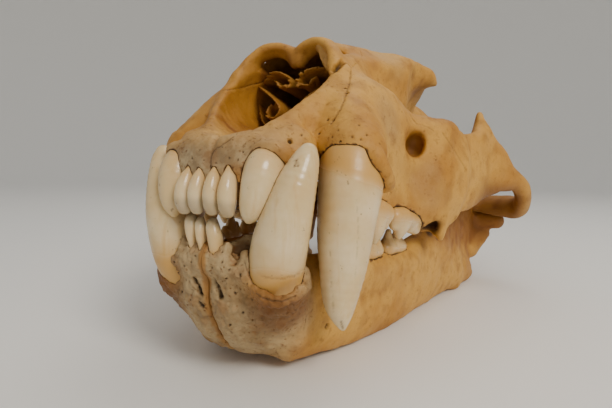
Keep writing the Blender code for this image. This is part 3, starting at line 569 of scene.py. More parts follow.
def hollowness(mesh, rounds):
    points = pointsOf(mesh)
    smooth = points.copy()
    for _ in range(rounds):
        smooth += 0.7 * (neighbourMean(mesh, smooth) - smooth)
    return ((smooth - points) * normalsOf(mesh)).sum(axis=1)


def faceCentres(mesh):
    flat = np.empty(3 * len(mesh.polygons))
    mesh.polygons.foreach_get("center", flat)
    return flat.reshape(-1, 3)


def refined(mesh, chosen):
    work = bmesh.new()
    work.from_mesh(mesh)
    work.faces.ensure_lookup_table()
    edges = {edge for i in np.flatnonzero(chosen).tolist() for edge in work.faces[i].edges}
    bmesh.ops.subdivide_edges(work, edges=list(edges), cuts=1, use_grid_fill=True)
    bmesh.ops.triangulate(work, faces=[face for face in work.faces if len(face.verts) > 4])
    work.to_mesh(mesh)
    work.free()
    return mesh


def treeOf(mesh):
    faces = [tuple(face.vertices) for face in mesh.polygons]
    return BVHTree.FromPolygons([tuple(p) for p in pointsOf(mesh)], faces)


def nearestTo(points, spots, limit):
    gap = np.full(len(points), 1e3)
    if not len(spots):
        return gap
    low, high = spots.min(axis=0) - limit, spots.max(axis=0) + limit
    near = np.flatnonzero(((points > low) & (points < high)).all(axis=1))
    for start in range(0, len(near), 4000):
        part = near[start : start + 4000]
        gap[part] = np.linalg.norm(points[part, None] - spots[None], axis=2).min(axis=1)
    return gap


def alongLine(pixels, wander=0.8, step=1.2):
    rows = smoothRows(pixels, 3)
    found = []
    for a, b in zip(rows, rows[1:]):
        for t in np.arange(0, 1, step / max(np.linalg.norm(b - a), step)):
            spot = a + (b - a) * t
            sway = noise.noise(Vector((spot[0] * 0.21, spot[1] * 0.23, 3.1)))
            found.append(spot + wander * sway)
    return found


def marked(points, tree, marks):
    sink = np.zeros(len(points))
    dark = np.zeros(len(points))
    for u, v, radius, depth in marks["pores"]:
        gap = nearestTo(points, seenAt(tree, [(u, v)]), 3 * radius)
        sink += depth * ramp(gap, 1.3 * radius, 0.3 * radius)
        dark = np.maximum(dark, ramp(gap, 1.15 * radius, 0.5 * radius))
    for line, width, depth, shade in marks["cracks"]:
        gap = nearestTo(points, seenAt(tree, alongLine(line)), 3 * width)
        sink += depth * ramp(gap, 1.4 * width, 0.2 * width)
        dark = np.maximum(dark, shade * ramp(gap, 1.1 * width, 0.3 * width))
    return sink, dark


# Materials
def nodeKit(name):
    material = bpy.data.materials.new(name)
    material.use_nodes = True
    tree = material.node_tree
    shader = tree.nodes["Principled BSDF"]

    def node(kind, inputs=(), **settings):
        made = tree.nodes.new(kind)
        for key, value in settings.items():
            setattr(made, key, value)
        for key, value in dict(inputs).items():
            if isinstance(value, bpy.types.NodeSocket):
                tree.links.new(value, made.inputs[key])
            else:
                made.inputs[key].default_value = value
        return made

    return material, tree, shader, node


def mixColour(node, share, a, b):
    mixer = node("ShaderNodeMix", data_type="RGBA", clamp_factor=True)
    tree = mixer.id_data
    for socket, value in ((mixer.inputs[0], share), (mixer.inputs[6], a), (mixer.inputs[7], b)):
        if isinstance(value, bpy.types.NodeSocket):
            tree.links.new(value, socket)
        elif isinstance(value, tuple):
            socket.default_value = (*value, 1)
        else:
            socket.default_value = value
    return mixer.outputs[2]


def band(node, value, low, high, start=0.0, end=1.0):
    made = node("ShaderNodeMapRange", {"Value": value, "From Min": low, "From Max": high,
                                       "To Min": start, "To Max": end})
    made.interpolation_type = "SMOOTHSTEP"
    return made.outputs[0]


def times(node, a, b):
    return node("ShaderNodeMath", {0: a, 1: b}, operation="MULTIPLY").outputs[0]


def grainOf(node, place, scale, detail=5.0, roughness=0.6):
    settings = {"Vector": place, "Scale": scale, "Detail": detail, "Roughness": roughness}
    return node("ShaderNodeTexNoise", settings).outputs["Fac"]


def tonesOf(node):
    painted = node("ShaderNodeAttribute", attribute_name="tones")
    split = node("ShaderNodeSeparateColor", {0: painted.outputs["Color"]})
    return split.outputs[0], split.outputs[1], split.outputs[2], painted.outputs["Alpha"]


# The soot and rust colours serve both real stains and painted shade in hollows and shadowed places.
boneLook = {
    "ochre": (0.44, 0.195, 0.026),
    "honey": (0.63, 0.34, 0.066),
    "rustAndShade": (0.25, 0.092, 0.014),
    "grey": (0.24, 0.165, 0.085),
    "ashen": (0.44, 0.335, 0.19),
    "sootAndShade": (0.045, 0.02, 0.008),
    "roughness": (0.5, 0.68),
}


def boneMaterial(name):
    material, tree, shader, node = nodeKit(name)
    place = node("ShaderNodeTexCoord").outputs["Object"]
    greyness, sootAndShade, porous, rustAndShade = tonesOf(node)
    cloud = grainOf(node, place, 28)
    patch = grainOf(node, place, 95, 6, 0.65)
    speck = grainOf(node, place, 900, 4, 0.7)
    fleck = grainOf(node, place, 380, 3, 0.6)
    warm = mixColour(node, band(node, cloud, 0.35, 0.65), boneLook["ochre"], boneLook["honey"])
    warm = mixColour(node, times(node, band(node, patch, 0.52, 0.72), 0.35), warm, boneLook["rustAndShade"])
    ashy = mixColour(node, band(node, patch, 0.38, 0.6), boneLook["grey"], boneLook["ashen"])
    colour = mixColour(node, greyness, warm, ashy)
    colour = mixColour(node, times(node, band(node, fleck, 0.56, 0.72), 0.35), colour, boneLook["rustAndShade"])
    colour = mixColour(node, times(node, band(node, speck, 0.5, 0.75), 0.25), colour, boneLook["rustAndShade"])
    # The rust and soot tones below mix real stains with painted shade.
    colour = mixColour(node, rustAndShade, colour, boneLook["rustAndShade"])
    sponge = grainOf(node, place, 1150, 2, 0.45)
    sparse = grainOf(node, place, 240, 3, 0.6)
    pores = times(node, band(node, sponge, 0.60, 0.70), times(node, band(node, sparse, 0.40, 0.62), porous))
    colour = mixColour(node, times(node, pores, 0.75), colour, boneLook["rustAndShade"])
    colour = mixColour(node, sootAndShade, colour, boneLook["sootAndShade"])
    tree.links.new(colour, shader.inputs["Base Color"])
    tree.links.new(band(node, patch, 0.3, 0.7, *boneLook["roughness"]), shader.inputs["Roughness"])
    grainBump = node("ShaderNodeBump", {"Height": speck, "Strength": 0.45, "Distance": 0.0002})
    poreBump = node("ShaderNodeBump", {"Height": pores, "Strength": 0.9, "Distance": 0.0005,
                                       "Normal": grainBump.outputs[0]}, invert=True)
    patchBump = node("ShaderNodeBump", {"Height": patch, "Strength": 0.3, "Distance": 0.0008,
                                        "Normal": poreBump.outputs[0]})
    tree.links.new(patchBump.outputs[0], shader.inputs["Normal"])
    shader.inputs["Specular IOR Level"].default_value = 0.35
    return material


toothLook = {
    "ivory": (0.70, 0.51, 0.25),
    "milk": (0.80, 0.64, 0.385),
    "amber": (0.60, 0.32, 0.065),
    "smoke": (0.26, 0.20, 0.13),
    "brown": (0.12, 0.05, 0.015),
}


def toothMaterial(name):
    material, tree, shader, node = nodeKit(name)
    place = node("ShaderNodeTexCoord").outputs["Object"]
    root, stain, tip, wash = tonesOf(node)
    stretched = node("ShaderNodeMapping", {"Vector": place, "Scale": (1, 1, 0.12)}).outputs[0]
    streak = grainOf(node, stretched, 420)
    cloud = grainOf(node, place, 60, 4)
    fleck = grainOf(node, place, 520, 3, 0.6)
    colour = mixColour(node, band(node, cloud, 0.35, 0.7), toothLook["ivory"], toothLook["milk"])
    colour = mixColour(node, times(node, band(node, streak, 0.52, 0.75), 0.35), colour, toothLook["amber"])
    colour = mixColour(node, wash, colour, toothLook["amber"])
    colour = mixColour(node, tip, colour, toothLook["smoke"])
    colour = mixColour(node, times(node, root, 0.85), colour, toothLook["amber"])
    colour = mixColour(node, times(node, band(node, fleck, 0.66, 0.74), 0.5), colour, toothLook["brown"])
    colour = mixColour(node, stain, colour, toothLook["brown"])
    tree.links.new(colour, shader.inputs["Base Color"])
    tree.links.new(band(node, root, 0, 1, 0.24, 0.42), shader.inputs["Roughness"])
    bump = node("ShaderNodeBump", {"Height": streak, "Strength": 0.12, "Distance": 0.0003})
    tree.links.new(bump.outputs[0], shader.inputs["Normal"])
    shader.inputs["Subsurface Weight"].default_value = 0.1
    shader.inputs["Subsurface Radius"].default_value = (0.004, 0.002, 0.001)
    shader.inputs["Subsurface Scale"].default_value = 0.5
    shader.inputs["Coat Weight"].default_value = 0.15
    shader.inputs["Coat Roughness"].default_value = 0.12
    return material


# Points stay inside the CAD box by this margin, in metres
margin = 3e-5
lowest = np.array(cadBox[0]) + (margin, margin, 0)
highest = np.array(cadBox[1]) - margin


def placePiece(name, mesh, material):
    mesh.name = name
    mesh.transform(toRest)
    movePoints(mesh, np.clip(pointsOf(mesh), lowest, highest))
    mesh.materials.clear()
    mesh.materials.append(material)
    mesh.shade_smooth()
    piece = bpy.data.objects.new(name + "Look", mesh)
    bpy.context.scene.collection.objects.link(piece)
    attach(piece, "root")
    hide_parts(name)
    return piece


# Teeth; neck and tip are heights in the skull's frame, and slope how far the neck falls for each
# millimetre outwards from the middle of the upper canine
canineMiddle = 33


def toothRow(forms, grainName, neck, tip, slope=0):
    return {"forms": forms, "grain": grainName, "neck": neck, "tip": tip, "slope": slope}


toothTable = {
    "upper_incisor_1": toothRow(upperIncisor1, "incisor", 66.5, 57.5),
    "upper_incisor_2": toothRow(upperIncisor2, "incisor", 66.5, 57.3),
    "upper_incisor_3": toothRow(upperIncisor3, "cheekTooth", 71.5, 55),
    "upper_canine": toothRow(upperCanine, "canine", 69, 27, slope=0.3),
    "upper_premolar_3": toothRow(upperPremolar3, "cheekTooth", 58.5, 48),
    "upper_carnassial": toothRow(upperCarnassial, "cheekTooth", 58, 50),
    "upper_molar": toothRow(upperMolar, "incisor", 58.5, 54),
    "lower_premolar_3": toothRow(lowerPremolar3, "cheekTooth", 44.5, 52),
    "lower_premolar_4": toothRow(lowerPremolar4, "cheekTooth", 45, 55.5),
    "lower_carnassial": toothRow(lowerCarnassial, "cheekTooth", 46.5, 55.5),
}
ownTeeth = {
    "lower_incisor_1_left": toothRow(lowerIncisor1Left, "incisor", 43.5, 50.5),
    "lower_incisor_1_right": toothRow(lowerIncisor1Right, "incisor", 43.5, 50.5),
    "lower_incisor_2_right": toothRow(lowerIncisor2Right, "incisor", 43.5, 51),
    "lower_canine_left": toothRow(lowerCanine, "canine", 40, 74),
}


def toothTones(points, tooth, stain):
    height = points[:, 2] + tooth["slope"] * (np.abs(points[:, 0]) - canineMiddle)
    wave = noiseAt(points, 4, 5)
    upwards = tooth["tip"] > tooth["neck"]
    toRoot = (tooth["neck"] - height if upwards else height - tooth["neck"]) + 0.8 * wave
    toTip = (height - tooth["tip"] if upwards else tooth["tip"] - height) + 0.6 * wave
    root = ramp(toRoot, -2, 2.2)
    wash = 0.35 * ramp(toRoot, -9, 0) + 0.15 * ramp(noiseAt(points, 9, 2), 0, 0.5)
    tip = 0.45 * ramp(toTip, -1.5, 1) if tooth["grain"] == "incisor" else 0
    return root, stain, tip, wash


toothMarks = {
    "lower_canine_left": {
        "pores": [(296, 160, 0.45, 0.1), (297, 163, 0.5, 0.1), (294.5, 165.5, 0.4, 0.1),
            (298.5, 166.5, 0.35, 0.1)],
        "cracks": [([(258, 274), (272, 279), (288, 278), (303, 272)], 0.35, 0.15, 0.35)],
    },
    "upper_canine_left": {
        "pores": [],
        "cracks": [
            ([(330, 250), (331, 285), (334, 312)], 0.25, 0.1, 0.35),
            ([(357, 200), (358, 240), (355, 280)], 0.22, 0.1, 0.25),
            ([(340.5, 322), (342, 327), (343.5, 330)], 0.5, 0.3, 0.6),
        ],
    },
}


def makeTeeth():
    teeth = {}
    for name, tooth in toothTable.items():
        left = modelled(tooth["forms"], False, grain[tooth["grain"]])
        teeth[name + "_left"] = left
        teeth[name + "_right"] = mirrored(left)
    for name, tooth in ownTeeth.items():
        teeth[name] = modelled(tooth["forms"], False, grain[tooth["grain"]])
    upright = modelled(lowerCanineUpright, False, grain["canine"])
    teeth["lower_canine_right"] = mirrored(upright)
    for name, mesh in teeth.items():
        side = "_left" if name.endswith("_left") else "_right"
        if name.startswith("upper_incisor_3"):
            teeth[name] = mesh = carved(mesh, swollen(teeth["lower_canine" + side], gaps["socket"]))
        kind = name.removesuffix(side)
        tooth = toothTable.get(kind) or ownTeeth.get(name) or ownTeeth["lower_canine_left"]
        points = pointsOf(mesh)
        sink, stain = np.zeros((2, len(points)))
        if name in toothMarks:
            sink, stain = marked(points, treeOf(mesh), toothMarks[name])
        paint(mesh, toothTones(points, tooth, stain))
        movePoints(mesh, points - normalsOf(mesh) * sink[:, None])
    return teeth


teeth = makeTeeth()
print("teeth", sum(len(mesh.polygons) for mesh in teeth.values()))

# Finer forms of the cranium, added to the main ones
craniumTrim = {
    "gum ridge": strap([(0, 3.4, 67), (5, 3.6, 67.1), (9.4, 4.4, 67.4), (12.2, 5.2, 70.2),
        (15.6, 5.8, 72.6), (19.4, 7.6, 72.6), (22.4, 11.4, 70.6)], [2.3, 2.3, 2.3, 2.5, 2.7, 2.6, 2],
        [2.8, 2.8, 2.8, 2.6, 2.7, 2.8, 3], blend=2),
    "middle gum point": strap([(0, 3.2, 66), (0, 2.3, 63.6)], [1.3, 0.6], [1.4, 0.8], up=back, blend=1.5),
    "second gum point": strap([(5.2, 3.4, 66), (5.1, 2.5, 63.4)], [1.3, 0.6], [1.4, 0.8], up=back,
        blend=1.5),
    "third gum point": strap([(10.3, 4.4, 67), (10, 3.3, 63.6)], [1.4, 0.7], [1.6, 0.8], up=back,
        blend=1.5),
    "canine gum point": strap([(22.4, 13, 73), (22.6, 12, 68.5)], [1.8, 0.8], [2.4, 1], up=back, blend=2),
    "premaxilla groove": strap([(0, 0.4, 67), (0, 1, 72), (0, 4.5, 77), (0, 9, 78.5)], 0.7, 0.8, up=back,
        blend=1.6, cut=True),
    "cheek foot": strap([(48.4, 93, 63), (49.6, 93.6, 57.5), (50.6, 94, 52.6)], [5, 3.8, 1.8],
        [6, 4.6, 2.2], up=back, blend=3),
    "cheek foot notch": lump((45.6, 88.6, 57), (4.5, 4.2, 4.2), blend=1.5, cut=True),
    "spike rear": lump((63.6, 128.4, 102), (3, 5.4, 6.4), turn=(28, 0, 0), blend=5),
}
for form in craniumTrim.values():
    form["late"] = True
brokenTipForms = {
    "tip": strap([(9.5, 45.6, 120), (12.8, 44.2, 117.4), (15.2, 42.6, 113.6), (16.6, 41.4, 109.8)],
        [1.7, 2.2, 2.6, 1.6], [2.2, 2.8, 3, 1.8], up=back, blend=2),
    "chip": lump((13.6, 40.2, 114.5), (2.2, 2, 3), blend=1, cut=True),
}
turbinateForms = {
    "septum": lump((0, 82, 98), (0.8, 24, 17), blend=1),
    "vomer": strap([(0, 30, 80.5), (0, 50, 84), (0, 74, 88)], [1.3, 1.2, 1.2], [2, 3, 6], blend=2),
    "upper scroll": strap([(13.5, 58, 110.5), (9, 55, 111.6), (3.2, 53, 109.6), (2.2, 53.5, 107.2),
        (4.4, 54, 105.8), (7, 55, 107.2)], 0.7, 9, up=back, blend=1),
    "middle scroll": strap([(15.5, 57, 106), (12, 54, 103.8), (6.5, 52, 99.6), (4.2, 52, 96.2),
        (6, 52.5, 93.4), (9.4, 53, 93.6), (10, 54, 96.4), (8, 55, 97.6)], 0.75, 8.5, up=back, blend=1),
    "lower scroll": strap([(16, 60, 97), (13, 57, 92.5), (9.5, 56, 90), (6, 56, 91)], 0.8, 10, up=back,
        blend=1),
    "deep plate": strap([(12, 76, 112), (7, 74, 104), (9, 75, 95)], 0.8, 8, up=back, blend=1),
    "deep wall": strap([(4, 80, 114), (3.2, 80, 100), (4, 80, 90)], 0.7, 9, up=back, blend=1),
}
craniumMarks = {
    "pores": [(290, 141.5, 0.75, 0.9), (302, 135, 0.4, 0.4), (319, 133.5, 0.5, 0.5),
        (327.5, 119.6, 0.5, 0.5), (338, 130, 0.4, 0.4), (332, 137, 0.4, 0.4), (340, 141.5, 0.45, 0.5),
        (352, 136.7, 0.4, 0.4), (359, 125, 0.4, 0.4), (361, 139.6, 0.35, 0.4), (367, 135, 0.35, 0.4),
        (380, 143.6, 0.4, 0.4), (386, 153.6, 0.4, 0.4), (346.7, 92.5, 0.7, 0.8), (345, 88, 0.45, 0.5),
        (333, 120.4, 0.7, 0.8), (331, 123, 0.5, 0.5), (262, 128, 0.3, 0.3), (250, 147, 0.3, 0.3),
        (243, 152, 0.3, 0.3), (222, 147, 0.3, 0.3), (229, 158, 0.35, 0.4), (238, 160, 0.3, 0.3),
        (213, 152, 0.3, 0.3), (200, 150, 0.3, 0.3), (192, 158, 0.35, 0.4), (204, 160, 0.3, 0.3),
        (216, 163, 0.3, 0.3), (402, 112, 0.4, 0.4), (392, 128, 0.35, 0.4), (436, 160, 0.35, 0.4),
        (455, 182, 0.35, 0.4)],
    "cracks": [
        ([(328, 76), (332, 71.5), (338, 66), (343.5, 61)], 1.1, 2.6, 1),
        ([(351.5, 68), (350, 80), (346.7, 92.5), (344, 100), (341, 107.7), (337, 114), (333, 120.4)],
            0.38, 0.35, 0.75),
        ([(344, 61), (348, 64), (351.5, 68)], 0.4, 0.35, 0.6),
        ([(333, 120.4), (328, 124), (320, 127), (313, 133)], 0.25, 0.15, 0.3),
        ([(222, 90), (240, 88), (265, 81.5)], 0.35, 0.3, 0.7),
        ([(211, 172), (210, 164), (211, 155), (215, 149), (224, 143), (233, 137)], 0.4, 0.45, 0.65),
        ([(443, 133), (452, 146), (460, 159), (467, 171)], 0.5, 0.25, 0.3),
        ([(405.7, 91.7), (407, 104), (411, 116), (417, 124)], 0.35, 0.25, 0.45),
        ([(417, 124), (428, 127), (437, 133)], 0.3, 0.2, 0.35),
        ([(360, 50), (362, 58), (356, 64), (351.5, 68)], 0.3, 0.25, 0.5),
    ],
}

# A zone is a product of ramps, each an axis with its start and end; axis 0 is the distance from
# the middle plane. A patch is round about a point, and fades in between two distances.
# The nasal, inside and fossa zones mark where painted shade darkens the nose cavity and the fossa behind the
# cheekbone arch.
zones = {
    "nasal": [(0, 18, 14.5), (1, 12, 20), (2, 77, 81), (2, 118, 114), (1, 100, 96)],
    "inside": [(0, 19, 14), (1, 36, 62), (2, 82, 86), (1, 100, 96), (2, 121, 117)],
    "shadedFossa": [(2, 84, 76), (1, 108, 128), (1, 200, 186), (0, 84, 78), (0, 28, 40)],
}
patches = {
    "porous": {"at": (42, 47, 92), "scale": (0.7, 1, 1), "edge": (13, 4)},
    "shadeBehindTeeth": {"at": (46, 88.5, 57), "scale": (1, 1, 1), "edge": (6.5, 4.5)},
    # Painted shadow in the gap behind the upper cheek teeth.
    "underSocket": {"at": (24, 12, 27), "scale": (0.8, 0.6, 1), "edge": (12.5, 4)},
    "pit": {"at": (9.8, 10, 43), "scale": (0.8, 1, 0.8), "edge": (4.6, 3)},
    "socket": {"at": (21, 8, 35), "scale": (0.7, 0.7, 1.1), "edge": (9, 3)},
}


def zone(points, name):
    share = 1
    for axis, start, end in zones[name]:
        values = points[:, axis] if axis else np.abs(points[:, 0])
        share = share * ramp(values, start, end)
    return share


def roundPatch(points, name, sway=0):
    gap = np.linalg.norm((points - patches[name]["at"]) * patches[name]["scale"], axis=1)
    return ramp(gap + sway, *patches[name]["edge"])


def craniumRelief(mesh):
    points = pointsOf(mesh)
    front = ramp(points[:, 1], 46, 8)
    swell = 0.5 * noiseAt(points, 16, 1) + 0.28 * noiseAt(points, 7, 7)
    rough = 0.2 * noiseAt(points, 3, 3) + 0.16 * noiseAt(points, 1.5, 9)
    rear = ramp(points[:, 1], 190, 240)
    height = 0.75 * swell + rough * (0.35 + 0.9 * front + 0.6 * rear)
    movePoints(mesh, points + normalsOf(mesh) * (height - 0.25)[:, None])


def craniumTones(points, hollow, dark):
    cloud = noiseAt(points, 22, 4)
    blots = noiseAt(points, 6, 6)
    front = ramp(points[:, 1] - 0.55 * (points[:, 2] - 70) + 6 * cloud, 15, 1)
    gum = front * ramp(points[:, 2] + 5 * cloud, 79, 68) * ramp(np.abs(points[:, 0]), 24, 13)
    side = 0.35 * ramp(cloud, 0.1, 0.5) * ramp(points[:, 1], 40, 60)
    sponge = roundPatch(points, "porous")
    grey = np.clip(0.75 * gum + 0.2 * front + 0.6 * side + 0.3 * sponge, 0, 1)
    nasal, inside, shadedFossa = (zone(points, name) for name in ("nasal", "inside", "shadedFossa"))
    # Painted shade: soot and rust grow in concave hollows, inside the nose, in the fossa behind the
    # cheekbone arch and behind the upper cheek teeth; the rust blots are stains.
    sootAndShade = np.clip(dark * 0.9 + 0.5 * ramp(hollow, 0.45, 1.2) + 0.4 * inside + 0.3 * shadedFossa
                   + 0.7 * roundPatch(points, "shadeBehindTeeth"), 0, 1)
    porous = np.clip(0.25 + 0.6 * front + 0.4 * sponge + 0.3 * ramp(blots, 0.1, 0.4), 0, 1)
    rustAndShade = np.clip(0.65 * ramp(hollow, 0.08, 0.5) + 0.35 * ramp(blots, 0.1, 0.5) + 0.3 * inside + 0.6 * shadedFossa
                   + 0.35 * nasal * (1 + blots), 0, 1)
    return grey, sootAndShade, porous, rustAndShade


# Faces are split in front of these y, above or below these z, and this near a mark
fine = {"face": 84, "teeth": 58, "snout": 14, "snoutTop": 84, "mark": 2.4, "jaw": (42, 13)}


def makeCranium():
    forms = craniumForms | craniumTrim
    mesh = modelled(forms, True, grain["cranium"])
    centres = faceCentres(mesh)
    mesh = refined(mesh, (centres[:, 1] < fine["face"]) & (centres[:, 2] > fine["teeth"]))
    centres = faceCentres(mesh)
    tree = treeOf(mesh)
    spots = [seenAt(tree, alongLine(line)) for line, _, _, _ in craniumMarks["cracks"]]
    spots += [seenAt(tree, [(u, v)]) for u, v, _, _ in craniumMarks["pores"]]
    close = nearestTo(centres, np.vstack(spots), fine["mark"]) < fine["mark"]
    snout = (centres[:, 1] < fine["snout"]) & (centres[:, 2] < fine["snoutTop"])
    mesh = refined(mesh, close | snout)
    print("cranium faces", len(mesh.polygons))
    settle(mesh, forms, True, **fineSettle)
    craniumRelief(mesh)
    hollow = hollowness(mesh, 14)
    tree = treeOf(mesh)
    sink, dark = marked(pointsOf(mesh), tree, craniumMarks)
    paint(mesh, craniumTones(pointsOf(mesh), hollow, dark))
    movePoints(mesh, pointsOf(mesh) - normalsOf(mesh) * sink[:, None])
    return mesh


jawMarks = {
    "left": {
        # The three pores of zero depth near (429, 231) are painted shadow spots on the ramus front.
        "pores": [(211, 307, 0.6, 0.8), (214, 317, 0.5, 0.6), (217, 323, 0.55, 0.6), (219, 329, 0.5, 0.6),
            (223, 336, 0.5, 0.5), (227, 342, 0.5, 0.5), (206, 318, 0.4, 0.5), (429, 231, 3.4, 0),
            (422, 228, 2.6, 0), (437, 236, 2.4, 0), (243, 313, 0.5, 0.6), (235, 293, 0.45, 0.5),
            (327.4, 326.6, 1.1, 1.5), (222, 262, 0.4, 0.4), (229, 270, 0.4, 0.4), (240, 275, 0.45, 0.5),
            (236, 264, 0.3, 0.4), (226, 279, 0.35, 0.4), (212, 268, 0.35, 0.4), (247, 284, 0.3, 0.3),
            (208, 330, 0.4, 0.5), (230, 325, 0.4, 0.4), (252, 300, 0.35, 0.3), (222, 252, 0.35, 0.4),
            (213, 254, 0.35, 0.4)],
        "cracks": [
            ([(213.5, 281), (217, 289), (220.5, 297.5)], 1.05, 1.9, 1),
            ([(256, 294), (268, 300), (282, 301), (296, 296)], 0.35, 0.3, 0.5),
            ([(244, 262), (247, 270), (251, 280), (256, 292)], 0.3, 0.2, 0.4),
            ([(300, 300), (306, 312), (304, 330)], 0.3, 0.2, 0.35),
        ],
    },
    "right": {
        "pores": [(202, 306, 0.75, 0.9), (200, 303, 0.6, 0.8), (191, 262, 0.4, 0.4), (184, 266, 0.4, 0.4),
            (178, 272, 0.4, 0.4), (186, 280, 0.35, 0.4), (182, 292, 0.4, 0.4), (190, 300, 0.35, 0.4),
            (174, 262, 0.35, 0.4), (195, 256, 0.35, 0.4)],
        "cracks": [([(193.5, 280.5), (197.5, 287.5), (200, 294.5)], 0.95, 1.7, 1)],
    },
}
jawTrim = {
    "left": {
        "broken wall": lump((9.6, 3.8, 45.6), (4, 5, 5.2), blend=1, cut=True),
        "empty socket": lump((9.4, 9.2, 44), (3.4, 2.8, 5), blend=0.8, cut=True),
        "corner socket": lump((13.2, 10.6, 43.6), (2, 2.4, 4), blend=0.8, cut=True),
        "inner wall": strap([(4.5, 12.6, 44), (9, 13.4, 46.6), (14.5, 15.4, 45)], 1.4, [2.6, 3, 2.6],
            blend=1.5),
        "first spike": strap([(0.9, 5.6, 42), (0.9, 5, 45.4)], [1.6, 0.9], [1.6, 0.9], up=back,
            blend=1.2),
        "second spike": strap([(6, 5.8, 41.5), (6.6, 5.3, 46)], [1.9, 0.9], [2, 0.9], up=back, blend=1.2),
        "third spike": strap([(12.2, 6.8, 38.5), (12, 6.4, 43.4)], [1.8, 0.9], [1.8, 0.9], up=back,
            blend=1.2),
        "socket lip": strap([(13.2, 7.4, 39.5), (13.8, 6.4, 37), (17, 5.6, 34.2), (21.5, 5.2, 32.6),
            (26.5, 6.2, 33.2), (29, 10, 36)], [1.6, 1.8, 1.9, 1.9, 1.7, 1.5], 1.8, blend=3),
    },
    "right": {
        "corner dip": lump((13.6, 6, 46), (3.2, 5, 5.4), blend=1, cut=True),
        "first spike": strap([(1.2, 5.6, 42), (1.2, 5, 45)], [1.4, 0.9], [1.5, 0.9], up=back, blend=1.2),
        "second spike": strap([(9.6, 6.8, 41), (10, 6.6, 46)], [1.9, 0.9], [2, 0.9], up=back, blend=1.2),
        "third spike": strap([(16.2, 9.6, 38), (17.2, 9, 43.4)], [1.8, 0.9], [1.8, 0.9], up=back,
            blend=1.2),
    },
}
for trim in jawTrim.values():
    for form in trim.values():
        form["late"] = True


def jawRelief(mesh):
    points = pointsOf(mesh)
    chin = ramp(points[:, 1], 34, 14)
    swell = 0.45 * noiseAt(points, 13, 11) + 0.3 * noiseAt(points, 6, 12)
    rough = 0.34 * noiseAt(points, 2.6, 13) + 0.28 * noiseAt(points, 1.4, 14)
    height = 0.8 * swell * (1 + 0.6 * chin) + rough * (0.3 + 1.3 * chin)
    inner = ramp(points[:, 0], 0.3, 2)
    movePoints(mesh, points + normalsOf(mesh) * ((height - 0.25) * inner)[:, None])


def jawTones(points, hollow, dark):
    cloud = noiseAt(points, 18, 15)
    blots = noiseAt(points, 5, 16)
    chin = ramp(points[:, 1] + 6 * cloud, 34, 20)
    shadow = roundPatch(points, "underSocket", 2 * blots)
    # Painted shade on the ramus front, under the cheekbone arch.
    shadedRamus = ramp(points[:, 1], 96, 118) * ramp(points[:, 2] + 3 * blots, 44, 54)
    pit = roundPatch(points, "pit") * ramp(points[:, 1], 7, 9)
    singed = roundPatch(points, "socket", 2 * blots)
    seam = ramp(np.abs(points[:, 0]) + 0.8 * blots, 1.8, 0.6)
    grey = np.clip(0.85 * chin - 0.5 * seam - 0.5 * singed, 0, 1)
    # Painted shade: soot and rust grow in concave hollows and on the ramus front; the patch under the lower
    # canine is painted shadow too.
    sootAndShade = np.clip(0.9 * dark + 0.5 * ramp(hollow, 0.4, 1) + 0.35 * shadow + 0.45 * pit, 0, 1)
    porous = np.clip(0.3 + 0.8 * chin, 0, 1)
    rustAndShade = np.clip(0.6 * ramp(hollow, 0.06, 0.4) + 0.3 * ramp(blots, 0.1, 0.5) + 0.7 * shadow
                   + 0.5 * singed + 0.6 * seam + 0.7 * shadedRamus + 0.5 * pit, 0, 1)
    return grey, sootAndShade, porous, rustAndShade


def makeJaw(side):
    sign = 1 if side == "left" else -1
    forms = jawForms | jawTrim[side]
    mesh = modelled(forms, False, grain["jaw"])
    for limit in fine["jaw"]:
        mesh = refined(mesh, faceCentres(mesh)[:, 1] < limit)
    settle(mesh, forms, False, **fineSettle)
    jawRelief(mesh)
    hollow = hollowness(mesh, 12)
    if side == "right":
        mesh = mirrored(mesh)
    tree = treeOf(mesh)
    sink, dark = marked(pointsOf(mesh), tree, jawMarks[side])
    paint(mesh, jawTones(pointsOf(mesh) * (sign, 1, 1), hollow, dark))
    movePoints(mesh, pointsOf(mesh) - normalsOf(mesh) * sink[:, None])
    mesh = trimmed(mesh, (sign * gaps["symphysis"] / 2, 0, 0), (sign, 0, 0))
    ground = toRest.inverted() @ Vector((0, 0, 0))
    upward = toRest.to_3x3().inverted() @ Vector((0, 0, 1))
    return trimmed(mesh, ground, upward.normalized())


cranium = makeCranium()
jaws = {side: makeJaw(side) for side in ("left", "right")}
print("bones", len(cranium.polygons), [len(jaw.polygons) for jaw in jaws.values()])

upper = [mesh for name, mesh in teeth.items() if name.startswith("upper")]
cranium = carved(cranium, joined([swollen(mesh, gaps["socket"]) for mesh in upper]))
cranium = lightened(cranium, triangles["cranium"])
turbinates = lightened(modelled(turbinateForms, True, grain["turbinate"]), triangles["turbinates"])
brokenTip = modelled(brokenTipForms, False, grain["turbinate"])
spots = pointsOf(brokenTip)
movePoints(brokenTip, spots + normalsOf(brokenTip) * (0.35 * noiseAt(spots, 2.2, 8.0))[:, None])
paint(brokenTip, (0.25, 0, 0.5, 0.1))
# Painted shade: the turbinates grow darker and browner deeper into the nose.
deep = pointsOf(turbinates)[:, 1]
paint(turbinates, (0, 0.15 + 0.5 * ramp(deep, 56, 74), 0.3, 0.3 + 0.4 * ramp(deep, 50, 66)))
cranium = joined([cranium, turbinates, brokenTip])
print("sockets", len(cranium.polygons))

boneSkin = boneMaterial("craniumBone")
jawSkin = boneMaterial("jawBone")
toothSkin = toothMaterial("toothEnamel")
for side, jaw in jaws.items():
    own = [mesh for name, mesh in teeth.items() if name.startswith("lower") and name.endswith(side)]
    jaw = carved(jaw, joined([swollen(mesh, gaps["socket"]) for mesh in own]))
    placePiece("mandible_" + side, jaw, jawSkin)
placePiece("cranium", cranium, boneSkin)
for name, mesh in teeth.items():
    placePiece(name, mesh, toothSkin)


